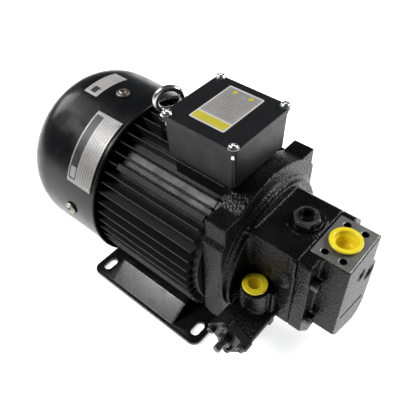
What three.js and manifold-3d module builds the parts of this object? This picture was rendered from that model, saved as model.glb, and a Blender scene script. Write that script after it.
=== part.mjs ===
// Electric motor with a variable axial piston pump on the same shaft.
// Millimetres, +Z up. The feet stand on z = 0 and the shaft runs along X,
// from the cooling fan (-X) to the pump (+X). Pieces are drawn about the shaft
// line, with x = 0 halfway between the feet's slots, and the assembly at the end
// lifts them to the shaft's height and centres the whole object on the origin.
import * as THREE from 'three';
import { mergeVertices } from 'three/addons/utils/BufferGeometryUtils.js';
import Module from 'manifold-3d';

const wasm = await Module();
wasm.setup();

// ---------------------------------------------------------------- driving sizes
// Sizes are radii unless their name says otherwise. Heights (z) are above the shaft line,
// except the foot's, which are above the ground.
const gap = 0.3;                    // left between pieces that touch
const degrees = Math.PI / 180;
const large = 36;                   // sides of the big round pieces
const medium = 24;
const small = 12;
const tiny = 8;

// Motor: the frame's bore and its length set the rest.
const frame = { bore: 71, back: -84, front: 76, fins: 50, finThick: 2.4 };
frame.root = frame.bore + 6;        // between the fins
frame.tip = frame.root + 14;
frame.finFront = frame.front - 6;
frame.strip = { angle: 133, halfWide: 3, back: -42 };
const shaftHeight = frame.tip + 9;  // shaft line above the ground

const foot = { long: 164, wide: 197, corner: 10, sheet: 4, pitchLong: 140, pitchWide: 160 };
foot.slotWide = 10;
foot.slotLong = 18;
foot.panelBack = -52;
foot.panelFront = 45;
foot.panelTop = 22;

const cover = { lip: frame.back + 28.7, back: frame.back - 94, radius: frame.tip + 4, sheet: 2 };
cover.shoulder = { long: 45, deep: 36 };
cover.screwX = frame.back - 10;
const fan = { back: frame.back - 46, front: frame.back - 24, reach: cover.radius - 15, seat: 9 };
cover.screwHead = 4.3;              // height of the screw heads over the sheet
cover.airSlots = { count: 12, inner: 22, outer: 52, halfWide: 2.5 };

const box = { x: 44.5, lidLong: 82, lidWide: 80.5, lid: 3, wall: 4, taper: 1.6, corner: 4 };
box.bottom = frame.tip + 1.3;
box.top = box.bottom + 44.7;
box.screwReach = [box.lidLong / 2 - 4.6, box.lidWide / 2 - 3.85];
box.entry = 10;                     // cable entry hole
const eye = { x: -26, seat: frame.tip + 8.3, ring: 13.1, section: 3.15, turn: 57 };
eye.centre = eye.seat + 17.3;

const bearing = { inner: 12.5, outer: 26, width: 15, back: frame.back - 16.3, front: frame.front - 14.7 };
const shaftRadius = bearing.inner - gap;
const coreRadius = 18;              // middle of the shaft, where the rotor sits
const rotorRadius = frame.bore - 29;
const airGap = 0.6;
const statorX = [frame.back + 29, frame.front - 51];
const slots = { count: 12, inner: rotorRadius + 4, outer: frame.bore - 11, half: 3.5 };
const sealRadius = 23;

// Pump: the piston circle and the piston size set the rest of the rotating group.
const pistons = { count: 7, circle: 24, radius: 6, length: 30 };
pistons.ball = pistons.radius * 0.7;
const shoe = { sole: pistons.radius + 2, neck: pistons.radius, soleThick: 2 };
const maxTilt = 15 * degrees;
const swash = { face: 5.5, back: 11, radius: pistons.circle + shoe.sole + 4 };
swash.hole = pistons.circle - shoe.sole + 1;
const saddle = { radius: 19, inner: swash.hole + 1, outer: swash.radius - 4, halfHigh: 12 };
const guideBall = pistons.circle - shoe.neck - 2.6;

const flange = { back: frame.front + 0.5, radius: frame.tip, halfWide: frame.bore + 3, lugTop: 76.7 };
flange.lugIn = 40;
flange.front = flange.back + 22.5;
flange.lugOut = flange.halfWide - 4.5;
const bell = { wide: 76, narrow: 72, step: flange.front + 3, front: flange.front + 7 };
const seatX = flange.back + 3.5;    // inner wall that the swash plate leans on
const tiltX = seatX + 24;           // tilt axis of the swash plate, in the plane of the piston balls

const barrel = { back: tiltX + 11, front: tiltX + 44, radius: pistons.circle + pistons.radius + 4.6 };
barrel.portX = barrel.front - 5;
const pumpCase = { back: bell.front, front: barrel.front + 9, cavity: barrel.radius + 2.9 };
pumpCase.bottom = -62;
pumpCase.top = 60;
pumpCase.side = pumpCase.cavity + 7.1;
const filler = { x: tiltX + 34, y: -2, hole: 9.4, spotface: 18, washer: 15, head: 13, high: 10.5 };
const lever = { y: 22, z: pumpCase.cavity + 4.5, piston: 6 };
const biasZ = -lever.z;

const cap = { back: pumpCase.front + gap, step: pumpCase.front + 14, front: pumpCase.front + 40.6 };
const inlet = { x: cap.back + 20.1, y: -2, boltLong: 17.5, boltWide: 38.1, bore: 10.6 };
const endPort = { y: 24, z: 8, radius: 8.5, deep: 9 };
const gaugePort = { y: 3, z: 25, radius: 6.5, deep: 7 };
const delivery = { y: 5.6 - pumpCase.side, z: -18, radius: 3.5 };

// Compensator: bolted to the -Y side of the case.
const valve = { x: tiltX + 20.5, z: -30, side: 34, turn: 40, plate: 9, plateSide: 36 };
valve.root = -pumpCase.side - 0.4;
valve.face = valve.root - 43;
valve.screwEnd = valve.face - 26;
const outlet = { x: valve.x, y: valve.root - 11.5, top: 8.5, boss: 14, bore: 7, seat: 12.3, seatDeep: 0.25 };
const spoolRadius = 4;
const springRoom = 7.2;

// ---------------------------------------------------------------- finishes
function finish(colour, roughness, metalness) {
  return new THREE.MeshStandardMaterial({ color: colour, roughness, metalness, flatShading: true });
}
const blackPaint = finish(0x17181a, 0.35, 0.1);
const castPaint = finish(0x1c1d1f, 0.7, 0.1);
const brightSteel = finish(0xc8c8c4, 0.25, 1.0);
const darkSteel = finish(0x3a3b3d, 0.4, 0.9);
const electricalSteel = finish(0x6d7075, 0.5, 0.8);
const copper = finish(0xa8562c, 0.4, 0.8);
const bronze = finish(0xa07a3c, 0.4, 0.9);
const rubber = finish(0x111111, 0.9, 0);
const yellowPlastic = finish(0xf2dc1e, 0.45, 0);
const blackPlastic = finish(0x1a1a1a, 0.6, 0);
const plateSilver = finish(0xb9bab6, 0.4, 0.8);

// ---------------------------------------------------------------- shape helpers
const alongX = new THREE.Vector3(1, 0, 0);
const alongY = new THREE.Vector3(0, 1, 0);
const alongZ = new THREE.Vector3(0, 0, 1);

// A three.js surface as a closed solid that can be joined and cut.
function solid(geometry) {
  const bare = geometry.clone();
  bare.deleteAttribute('normal');
  bare.deleteAttribute('uv');
  const welded = mergeVertices(bare, 1e-4);
  const points = welded.attributes.position.array;
  const index = welded.index.array;
  let corners = [];
  let volume = 0;
  for (let i = 0; i < index.length; i += 3) {
    const [a, b, c] = [index[i], index[i + 1], index[i + 2]];
    if (a === b || b === c || c === a) continue;
    corners.push(a, b, c);
    const [p, q, r] = [a, b, c].map((n) => new THREE.Vector3().fromArray(points, n * 3));
    volume += p.dot(q.cross(r));
  }
  if (volume < 0) corners = corners.reverse();
  const mesh = new wasm.Mesh({
    numProp: 3,
    vertProperties: new Float32Array(points),
    triVerts: new Uint32Array(corners),
  });
  return new wasm.Manifold(mesh);
}

function join(first, ...others) {
  return others.reduce((whole, next) => whole.add(next), first);
}

function cut(first, ...others) {
  return others.reduce((whole, next) => whole.subtract(next), first);
}

// Turned about the line through the origin along one axis. The profile lists [along, radius].
function turned(profile, sides, axis = 'x') {
  const lathe = new THREE.LatheGeometry(profile.map(([along, r]) => new THREE.Vector2(r, along)), sides);
  const turns = {
    x: new THREE.Matrix4().makeBasis(alongZ, alongX, alongY),
    y: new THREE.Matrix4(),
    z: new THREE.Matrix4().makeBasis(alongY, alongZ, alongX),
  };
  return solid(lathe.applyMatrix4(turns[axis]));
}

function rod(radius, from, to, sides = small, axis = 'x') {
  return turned([[from, 0], [from, radius], [to, radius], [to, 0]], sides, axis);
}

function ring(inner, outer, from, to, sides = medium, axis = 'x') {
  const profile = [[from, inner], [from, outer], [to, outer], [to, inner], [from, inner]];
  return turned(profile, sides, axis);
}

// A ball with its poles on the X axis.
function sphere(radius) {
  return solid(new THREE.SphereGeometry(radius, 20, 12).rotateZ(-Math.PI / 2));
}

function brick(x0, x1, y0, y1, z0, z1) {
  const geometry = new THREE.BoxGeometry(x1 - x0, y1 - y0, z1 - z0);
  return solid(geometry.translate((x0 + x1) / 2, (y0 + y1) / 2, (z0 + z1) / 2));
}

// A flat outline pushed along one axis. An outline pushed along X is drawn in (y, z),
// one pushed along Y in (z, x), and one pushed along Z in (x, y).
function pushed(shape, from, to, axis = 'x', curveSegments = 4) {
  const settings = { depth: to - from, bevelEnabled: false, curveSegments };
  const geometry = new THREE.ExtrudeGeometry(shape, settings).translate(0, 0, from);
  const turns = {
    x: new THREE.Matrix4().makeBasis(alongY, alongZ, alongX),
    y: new THREE.Matrix4().makeBasis(alongZ, alongX, alongY),
    z: new THREE.Matrix4(),
  };
  return solid(geometry.applyMatrix4(turns[axis]));
}

function polygon(points) {
  return new THREE.Shape(points.map(([u, v]) => new THREE.Vector2(u, v)));
}

function roundedRectangle(long, wide, radius) {
  const [u, v] = [long / 2, wide / 2];
  const shape = new THREE.Shape();
  shape.moveTo(-u + radius, -v);
  shape.lineTo(u - radius, -v);
  shape.absarc(u - radius, -v + radius, radius, -Math.PI / 2, 0);
  shape.lineTo(u, v - radius);
  shape.absarc(u - radius, v - radius, radius, 0, Math.PI / 2);
  shape.lineTo(-u + radius, v);
  shape.absarc(-u + radius, v - radius, radius, Math.PI / 2, Math.PI);
  shape.lineTo(-u, -v + radius);
  shape.absarc(-u + radius, -v + radius, radius, Math.PI, Math.PI * 1.5);
  return shape;
}

function slot(long, wide) {
  return roundedRectangle(long, wide, Math.min(long, wide) / 2 - 0.01);
}

// Points on an arc about the origin, for turned profiles: [along, radius].
function arcProfile(radius, fromAngle, toAngle, steps) {
  const points = [];
  for (let i = 0; i <= steps; i += 1) {
    const angle = fromAngle + ((toAngle - fromAngle) * i) / steps;
    points.push([-radius * Math.cos(angle), radius * Math.sin(angle)]);
  }
  return points;
}

class Helix extends THREE.Curve {
  constructor(radius, length, turns) {
    super();
    Object.assign(this, { radius, length, turns });
  }

  getPoint(t, target = new THREE.Vector3()) {
    const angle = t * this.turns * Math.PI * 2;
    return target.set(t * this.length, this.radius * Math.cos(angle), this.radius * Math.sin(angle));
  }
}

// A coil spring along X from the origin.
function coil(meanRadius, wireRadius, length, turns, stepsPerTurn) {
  const wire = new THREE.Shape();
  wire.absarc(0, 0, wireRadius, 0, Math.PI * 2);
  const settings = {
    steps: Math.round(turns * stepsPerTurn),
    extrudePath: new Helix(meanRadius, length, turns),
    curveSegments: 3,
    bevelEnabled: false,
  };
  return solid(new THREE.ExtrudeGeometry(wire, settings));
}

function piece(name, shape, material, at = [0, 0, 0], turn = [0, 0, 0]) {
  const { vertProperties, triVerts } = shape.getMesh();
  const geometry = new THREE.BufferGeometry();
  geometry.setAttribute('position', new THREE.BufferAttribute(new Float32Array(vertProperties), 3));
  geometry.setIndex(new THREE.BufferAttribute(new Uint32Array(triVerts), 1));
  geometry.computeVertexNormals();
  const mesh = new THREE.Mesh(geometry, material);
  mesh.name = name;
  mesh.position.set(...at);
  mesh.rotation.set(...turn);
  return mesh;
}

function around(count, make) {
  return Array.from({ length: count }, (_, i) => make((i * Math.PI * 2) / count, i));
}

function place(shape, x, y, z) {
  return shape.translate([x, y, z]);
}

// ---------------------------------------------------------------- motor
function footPlate() {
  const sheet = pushed(roundedRectangle(foot.long, foot.wide, foot.corner), 0, foot.sheet, 'z', 3);
  const lip = foot.wide / 2 - 4.5;
  const window = brick(foot.panelBack, foot.panelFront, -lip, lip, -1, foot.sheet + 1);
  const rim = [[lip + 0.5, 0], [lip + 0.5, foot.sheet], [lip, foot.sheet]];
  const outer = [...rim, [lip - 22, 18], [lip - 44, foot.panelTop]];
  const inner = [[lip - 47, 18], [lip - 23.5, 14], [lip - 4, 0]];
  const half = [...outer, ...outer.map(([y, z]) => [-y, z]).reverse()];
  const underside = [...inner.map(([y, z]) => [-y, z]).reverse(), ...inner];
  const panel = pushed(polygon([...half, ...underside]), foot.panelBack - 0.5, foot.panelFront + 0.5);
  const web = pushed(polygon(half), 0, 3);
  const boltSlots = [-1, 1].flatMap((endways) => [-1, 1].map((sideways) => {
    const hole = pushed(slot(foot.slotWide, foot.slotLong), -1, foot.sheet + 1, 'z', 2);
    return place(hole, (endways * foot.pitchLong) / 2, (sideways * foot.pitchWide) / 2, 0);
  }));
  const plate = cut(sheet, window, ...boltSlots);
  return join(plate, panel, place(web, foot.panelBack - 0.5, 0, 0), place(web, foot.panelFront - 2.5, 0, 0));
}

// Fins point straight out from the shaft line, with sloping sides. None stand over the foot.
function finnedOutline() {
  const points = [];
  const step = 360 / frame.fins;
  const tipHalf = Math.asin(frame.finThick / 2 / frame.tip) / degrees;
  const at = (radius, angle) => [radius * Math.cos(angle * degrees), radius * Math.sin(angle * degrees)];
  for (let i = 0; i < frame.fins; i += 1) {
    const angle = (i + 0.5) * step;
    const overFoot = Math.abs(angle - 270) < 35;
    if (overFoot) {
      points.push(at(frame.root, angle));
      continue;
    }
    points.push(at(frame.tip, angle - tipHalf), at(frame.tip, angle + tipHalf));
    points.push(at(frame.root, angle + step / 2));
  }
  return points;
}

function motorFrame() {
  const finned = pushed(polygon(finnedOutline()), frame.back, frame.finFront);
  const nose = rod(frame.root + 5, frame.finFront - 1, frame.front, large);
  const boxPad = brick(10, frame.front, -33, 33, frame.bore - 8, box.bottom - gap);
  const eyeBoss = place(rod(12, frame.bore - 2, eye.seat - gap, small, 'z'), eye.x, 0, 0);
  const rails = [-1, 1].map((side) => {
    return brick(-40, 34, side * 26 - 6, side * 26 + 6, foot.panelTop + gap - shaftHeight, -frame.bore - 1);
  });
  const { angle, halfWide, back } = frame.strip;
  const flatBar = brick(back, frame.finFront, frame.root - 3, frame.tip, -halfWide, halfWide);
  const strip = flatBar.rotate([angle, 0, 0]);
  const bore = rod(frame.bore, frame.back - 1, frame.front + 1, large);
  const eyeHole = place(rod(4.5, frame.bore - 4, eye.seat + 1, tiny, 'z'), eye.x, 0, 0);
  const wireHole = place(rod(11, 60, box.bottom + 1, small, 'z'), box.x, 0, 0);
  return cut(join(finned, nose, boxPad, eyeBoss, strip, ...rails), bore, eyeHole, wireHole);
}

function statorCore() {
  const core = ring(rotorRadius + airGap, frame.bore - 0.6, statorX[0], statorX[1], large);
  const rooms = around(slots.count, (angle) => {
    const room = brick(statorX[0] - 1, statorX[1] + 1, slots.inner, slots.outer, -slots.half, slots.half);
    return room.rotate([angle / degrees, 0, 0]);
  });
  return cut(core, ...rooms);
}

function statorWinding() {
  const turnRing = (from, to) => ring(rotorRadius + 5, slots.outer + 1, from, to, small * 1.5);
  const bars = around(slots.count, (angle) => {
    const bar = brick(
      statorX[0] - 1.5, statorX[1] + 1.5,
      slots.inner + 1.5, slots.outer - 0.5, -slots.half + 0.5, slots.half - 0.5,
    );
    return bar.rotate([angle / degrees, 0, 0]);
  });
  const rear = turnRing(statorX[0] - 20, statorX[0] - 0.8);
  const front = turnRing(statorX[1] + 0.8, statorX[1] + 20);
  return join(rear, front, ...bars);
}

function rotorCore() {
  const [back, front] = statorX;
  return turned([
    [back - 3, coreRadius + gap], [back - 3, 28], [back - 9, 28], [back - 9, rotorRadius],
    [front + 9, rotorRadius], [front + 9, 28], [front + 3, 28], [front + 3, coreRadius + gap],
    [back - 3, coreRadius + gap],
  ], medium);
}

function driveShaft() {
  const fanEnd = fan.back - 2;
  const front = bearing.front + bearing.width + 0.7;
  return turned([
    [fanEnd, 0], [fanEnd, fan.seat - 0.5], [fanEnd + 1, fan.seat], [bearing.back - 0.7, fan.seat],
    [bearing.back - 0.7, shaftRadius], [frame.back - 1, shaftRadius], [frame.back - 1, 15],
    [statorX[0] - 7, 15], [statorX[0] - 7, coreRadius], [statorX[1] + 7, coreRadius], [statorX[1] + 7, 15],
    [bearing.front - 1.3, 15], [bearing.front - 1.3, shaftRadius], [front, shaftRadius], [front, 11],
    [barrel.back - 3, 11], [barrel.back - 3, 10], [barrel.front - 2, 10], [barrel.front - 2, 8],
    [barrel.front + 12, 8], [barrel.front + 12, 0],
  ], 14);
}

function bearingOuter() {
  const lip = bearing.outer - 4;
  return ring(lip, bearing.outer, 0, bearing.width);
}

function bearingInner() {
  return ring(bearing.inner, bearing.inner + 5, 0, bearing.width);
}

function rearEndShield() {
  const back = frame.back - gap;
  const pocket = bearing.outer + gap;
  const rim = cover.radius - 7;
  const rimEnd = frame.back - 17;
  const body = turned([
    [back + 4, frame.bore - 9], [back + 4, frame.bore - gap], [back, frame.bore - gap], [back, rim],
    [rimEnd, rim], [rimEnd, rim - 8], [frame.back - 7, rim - 8], [frame.back - 7, pocket + 5.7],
    [rimEnd - 1, pocket + 5.7], [rimEnd - 1, pocket], [bearing.back + bearing.width + gap, pocket],
    [bearing.back + bearing.width + gap, 19], [back + 4, 19], [back + 4, frame.bore - 9],
  ], large);
  const bosses = around(4, (angle) => {
    const boss = place(rod(7, rim - 6, cover.radius - cover.sheet - 0.9, tiny, 'z'), cover.screwX, 0, 0);
    return boss.rotate([angle / degrees, 0, 0]);
  });
  const holes = around(4, (angle) => {
    return place(rod(3, rim - 10, cover.radius, 6, 'z'), cover.screwX, 0, 0).rotate([angle / degrees, 0, 0]);
  });
  return cut(join(body, ...bosses), ...holes);
}

function coolingFan() {
  const { back, front, reach, seat } = fan;
  const hub = ring(seat + gap, 18, back, front, 16);
  const disc = ring(16, reach, front - 3, front, medium);
  const blades = around(7, (angle) => {
    return brick(back, front - 2, 16, reach - 2, -1.5, 1.5).rotate([angle / degrees, 0, 0]);
  });
  return join(hub, disc, ...blades);
}

// Points of the quarter ellipse between a turned piece's straight wall and its flat back.
function roundShoulder(radius, back) {
  const inward = cover.radius - radius;
  const [long, deep] = [cover.shoulder.long - inward, cover.shoulder.deep - inward];
  const points = [];
  const steps = 5;
  for (let i = 0; i <= steps; i += 1) {
    const angle = (Math.PI / 2) * (i / steps);
    points.push([back + long * (1 - Math.sin(angle)), radius - deep * (1 - Math.cos(angle))]);
  }
  return points.reverse();
}

// A domed sheet cap: straight wall, round shoulder, flat back with a ring of air slots.
function fanCover() {
  const { count, inner: slotIn, outer: slotOut, halfWide } = cover.airSlots;
  const inner = cover.radius - cover.sheet;
  const outside = roundShoulder(cover.radius, cover.back);
  const inside = roundShoulder(inner, cover.back + cover.sheet);
  const shell = turned([
    [cover.back, 0], ...outside, [cover.lip, cover.radius],
    [cover.lip, inner], ...inside.reverse(), [cover.back + cover.sheet, 0],
  ], large);
  const airSlots = around(count, (angle) => {
    const opening = brick(cover.back - 1, cover.back + cover.sheet + 1, slotIn, slotOut, -halfWide, halfWide);
    return opening.rotate([angle / degrees, 0, 0]);
  });
  const screwHoles = around(4, (angle) => {
    const hole = place(rod(3.8, inner - 4, cover.radius + 4, tiny, 'z'), cover.screwX, 0, 0);
    return hole.rotate([angle / degrees, 0, 0]);
  });
  return cut(shell, ...airSlots, ...screwHoles);
}

// Button screw on a rubber washer, pointing along Z from its seat at z = 0.
function coverScrew() {
  const top = cover.screwHead;
  return turned([
    [-9, 0], [-9, 2.6], [gap, 2.6], [gap, 7.6], [1.6, 7.6], [1.8, 5.4], [top - 0.6, 4.6], [top, 2.6],
    [top - 1.4, 2.6], [top - 1.4, 0],
  ], 10, 'z');
}

function curvedPlate(radius, thick, from, to, fromAngle, toAngle) {
  const shape = new THREE.Shape();
  shape.absarc(0, 0, radius + thick, fromAngle * degrees, toAngle * degrees);
  shape.absarc(0, 0, radius, toAngle * degrees, fromAngle * degrees, true);
  return pushed(shape, from, to, 'x', 6);
}

function liftingEye() {
  const loop = new THREE.TorusGeometry(eye.ring, eye.section, 7, 18).applyMatrix4(
    new THREE.Matrix4().makeRotationX(Math.PI / 2),
  );
  const collar = rod(10, -(eye.centre - eye.seat), -(eye.centre - eye.seat) + 3.4, small, 'z');
  const shank = rod(4, -(eye.centre - eye.seat) - 12, -(eye.centre - eye.seat) + 1, tiny, 'z');
  return join(solid(loop), collar, shank);
}

// The box is a little smaller at its bottom than at its rim.
function tapered(long, wide, corner, from, to, shrink) {
  const shape = roundedRectangle(long, wide, corner);
  const settings = { depth: to - from, bevelEnabled: false, curveSegments: 2 };
  const geometry = new THREE.ExtrudeGeometry(shape, settings);
  const position = geometry.attributes.position;
  for (let i = 0; i < position.count; i += 1) {
    const low = position.getZ(i) < 1e-6;
    const scaleX = low ? 1 - (2 * shrink) / long : 1;
    const scaleY = low ? 1 - (2 * shrink) / wide : 1;
    position.setXY(i, position.getX(i) * scaleX, position.getY(i) * scaleY);
  }
  return solid(geometry.translate(0, 0, from));
}

function fourCorners([reachX, reachY], make) {
  return [[-1, -1], [1, -1], [1, 1], [-1, 1]].map(([a, b]) => make(a * reachX, b * reachY));
}

function terminalBox() {
  const rim = box.top - box.lid - gap;
  const outside = tapered(box.lidLong - 1.2, box.lidWide - 1.2, box.corner, box.bottom, rim, box.taper);
  const inside = tapered(
    box.lidLong - 2 * box.wall - 1.2, box.lidWide - 2 * box.wall - 1.2, 2, box.bottom + 3, rim + 1, box.taper,
  );
  const postReach = box.screwReach.map((reach) => reach - 2);
  const posts = fourCorners(postReach, (x, y) => place(rod(5.2, box.bottom + 1, rim, tiny, 'z'), x, y, 0));
  const oneThread = () => rod(2.8, rim - 14, rim + 1, tiny, 'z');
  const threads = fourCorners(box.screwReach, (x, y) => place(oneThread(), x, y, 0));
  const wireHole = rod(10, box.bottom - 1, box.bottom + 5, small, 'z');
  const entry = rod(box.entry, box.lidWide / 2 - 8, box.lidWide / 2 + 3, small, 'y');
  const cableEntry = place(entry, 0, 0, box.bottom + 20);
  return cut(join(cut(outside, inside), ...posts), ...threads, wireHole, cableEntry);
}

function terminalBoxLid() {
  const outline = roundedRectangle(box.lidLong, box.lidWide, box.corner);
  const plate = pushed(outline, box.top - box.lid, box.top, 'z', 2);
  const holes = fourCorners(box.screwReach, (x, y) => {
    return place(rod(2.8, box.top - box.lid - 1, box.top + 1, tiny, 'z'), x, y, 0);
  });
  return cut(plate, ...holes);
}

function lidScrew() {
  return turned([
    [-12, 0], [-12, 2.4], [gap, 2.4], [gap, 4.9], [2.2, 4.6], [3.4, 2.4], [3.4, 0],
  ], 10, 'z');
}

function terminalBlock() {
  const base = brick(-24, 24, -16, 16, box.bottom + 3 + gap, box.bottom + 13);
  const wireGap = rod(8, box.bottom, box.bottom + 20, tiny, 'z');
  const studs = [-16, 0, 16].flatMap((x) => [-12, 12].map((y) => {
    return place(rod(2.4, box.bottom + 12, box.bottom + 22, 6, 'z'), x, y, 0);
  }));
  return join(cut(base, wireGap), ...studs);
}

// ---------------------------------------------------------------- pump housing
function flangeOutline() {
  const disc = new THREE.Shape();
  disc.absarc(0, 0, flange.radius, 0, Math.PI * 2);
  const round = pushed(disc, flange.back, flange.front, 'x', large);
  const between = brick(0, 200, -flange.halfWide, flange.halfWide, -200, 200);
  const lugs = [-1, 1].map((side) => {
    const [near, far] = [side * flange.lugIn, side * flange.lugOut].sort((a, b) => a - b);
    return brick(flange.back, flange.front, near, far, 30, flange.lugTop);
  });
  const lowLugs = [-1, 1].map((side) => place(rod(12, flange.back, flange.front, small), 0, side * 58, -62));
  return join(round.intersect(between), ...lugs, ...lowLugs);
}

const caseOutline = [
  [-pumpCase.side, pumpCase.top], [-pumpCase.side, -38], [-26, pumpCase.bottom], [26, pumpCase.bottom],
  [pumpCase.side, -38], [pumpCase.side, 45], [29.8, pumpCase.top],
];

function pumpBody() {
  const hub = rod(bearing.outer + 8, bearing.front - 6.3, bearing.front + 12.7, medium);
  const spigot = rod(frame.bore - gap, frame.front - 8, flange.back + 1, large);
  const wideBell = rod(bell.wide, flange.front - 1, bell.step, large);
  const narrowBell = rod(bell.narrow, bell.step - 1, bell.front + 1, large);
  const shell = pushed(polygon(caseOutline), pumpCase.back - 2, pumpCase.front);
  const raisedRing = rod(filler.spotface, pumpCase.top - 4, pumpCase.top + 1.2, 16, 'z');
  const spotface = place(raisedRing, filler.x, filler.y, 0);
  const outside = join(hub, spigot, flangeOutline(), wideBell, narrowBell, shell, spotface);

  const sealRoom = rod(sealRadius + gap, bearing.front - 12, bearing.front + 9, medium);
  const bearingRoom = rod(bearing.outer + gap, bearing.front - gap, seatX + 1, medium);
  const cavity = rod(pumpCase.cavity, seatX, pumpCase.front + 1, medium);
  const chamber = rod(swash.radius + 4, seatX, tiltX + 6, medium);
  const leverRoom = brick(seatX, tiltX + 13, lever.y - 9, lever.y + 9, 10, lever.z + 8.5);
  const biasRoom = brick(seatX, tiltX + 8, -8.5, 8.5, biasZ - 9, biasZ + 12);
  const springHole = place(rod(8, seatX, barrel.front + 2, small), 0, 0, biasZ);
  const straightBore = rod(lever.piston + 0.4, tiltX + 6, pumpCase.front + 1, small);
  const controlBore = place(straightBore, 0, lever.y, lever.z);
  const fillHole = place(rod(filler.hole, 30, pumpCase.top + 3, 16, 'z'), filler.x, filler.y, 0);
  const longDrill = rod(delivery.radius, outlet.x, pumpCase.front + 1, tiny);
  const deliveryHole = place(longDrill, 0, delivery.y, delivery.z);
  const sideDrill = rod(delivery.radius, -pumpCase.side - 5.4, delivery.y, tiny, 'y');
  const sideHole = place(sideDrill, outlet.x + 1, 0, delivery.z);
  const hollow = cut(
    outside, sealRoom, bearingRoom, cavity, chamber, leverRoom, biasRoom, springHole,
    controlBore, fillHole, deliveryHole, sideHole,
  );

  const pads = [-1, 1].map((side) => {
    const middle = (side * (saddle.inner + saddle.outer)) / 2;
    const half = (saddle.outer - saddle.inner) / 2;
    return brick(seatX - 1, tiltX - 9, middle - half, middle + half, -saddle.halfHigh, saddle.halfHigh);
  });
  const seat = place(rod(saddle.radius + gap + 0.1, -60, 60, medium, 'y'), tiltX, 0, 0);
  return join(hollow, ...pads.map((pad) => cut(pad, seat)));
}

function shaftSeal() {
  return ring(15 + 0.4, sealRadius, bearing.front - 5.8, bearing.front - gap);
}

function endCover() {
  const spigot = rod(pumpCase.cavity - gap, barrel.front + 3.3, cap.back + 1, medium);
  const plate = pushed(polygon(caseOutline), cap.back, cap.step);
  const neckOutline = polygon([
    [-29, 60], [-29, -36], [-20, -49], [20, -69.5], [31, -67],
    [37.5, -55], [37.5, 12], [27.5, 22], [25.3, 60],
  ]);
  const neck = pushed(neckOutline, cap.step - 1, cap.front);
  const solidCover = join(spigot, plate, neck);

  const inside = barrel.front + 2;
  const shaftHole = rod(8 + 0.4, inside, barrel.front + 15, 14);
  const inletBore = place(rod(inlet.bore, 12, pumpCase.top + 1, 18, 'z'), inlet.x, inlet.y, 0);
  const suction = place(rod(6, inside, inlet.x, tiny), 0, 13, 15);
  const fromKidney = place(rod(delivery.radius, inside, cap.back + 9.7, tiny), 0, -22, -13);
  const crossDrill = place(rod(delivery.radius, delivery.y, -20, tiny, 'y'), cap.back + 6.2, 0, -15);
  const toSide = place(rod(delivery.radius, inside, cap.back + 7.7, tiny), 0, delivery.y, delivery.z);
  const threads = [-1, 1].flatMap((a) => [-1, 1].map((b) => {
    const thread = rod(3.4, pumpCase.top - 14, pumpCase.top + 1, tiny, 'z');
    return place(thread, inlet.x + (a * inlet.boltLong) / 2, inlet.y + (b * inlet.boltWide) / 2, 0);
  }));
  const endDrill = rod(endPort.radius, cap.front - endPort.deep, cap.front + 1, 14);
  const endBore = place(endDrill, 0, endPort.y, endPort.z);
  const gaugeDrill = rod(gaugePort.radius, cap.front - gaugePort.deep, cap.front + 1, small);
  const gaugeBore = place(gaugeDrill, 0, gaugePort.y, gaugePort.z);
  return cut(
    solidCover, shaftHole, inletBore, suction, fromKidney, crossDrill, toSide, ...threads, endBore, gaugeBore,
  );
}

// ---------------------------------------------------------------- rotating group
// These pieces are drawn about the middle of the tilt axis.
function swashPlate() {
  const disc = ring(swash.hole, swash.radius, -swash.back, -swash.face, medium);
  const legs = [-1, 1].map((side) => {
    const [near, far] = [side * (saddle.inner + 0.5), side * (saddle.outer - 0.5)].sort((a, b) => a - b);
    const drum = rod(saddle.radius, near, far, medium, 'y');
    return drum.intersect(brick(-30, -swash.back + 0.5, -60, 60, -20, 20));
  });
  const arm = brick(-swash.back, -swash.face, lever.y - 7, lever.y + 7, 26, lever.z + 5.5);
  const lowArm = brick(-swash.back, -swash.face, -6, 6, biasZ - 5, biasZ + 12);
  return join(disc, ...legs, arm, lowArm);
}

function pistonShoe() {
  const sphere = pistons.ball + gap;
  const mouth = 2.2;
  const openAngle = Math.PI - Math.acos(mouth / sphere);
  return turned([
    [-swash.face + gap, 0], [-swash.face + gap, shoe.sole], [-swash.face + gap + shoe.soleThick, shoe.sole],
    [-swash.face + gap + shoe.soleThick, shoe.neck], [mouth, shoe.neck],
    ...arcProfile(sphere, openAngle, 0, 3),
  ], small);
}

function piston() {
  const ballEnd = Math.PI - 0.63;
  return turned([
    ...arcProfile(pistons.ball, 0, ballEnd, 4), [5, 2.5],
    [8, pistons.radius], [pistons.length, pistons.radius],
    [pistons.length, 0],
  ], small);
}

function onCircle(radius, angle) {
  return [radius * Math.cos(angle), radius * Math.sin(angle)];
}

function retainerPlate() {
  const back = -swash.face + gap + shoe.soleThick + gap;
  const disc = rod(pistons.circle + shoe.neck + 3.5, back, back + 1.5, medium);
  const ballRoom = sphere(guideBall + 0.9);
  const holes = around(pistons.count, (angle) => {
    const [y, z] = onCircle(pistons.circle, angle);
    return place(rod(shoe.neck + 0.5, back - 2, back + 4, small), 0, y, z);
  });
  return cut(disc, ballRoom, ...holes);
}

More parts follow.
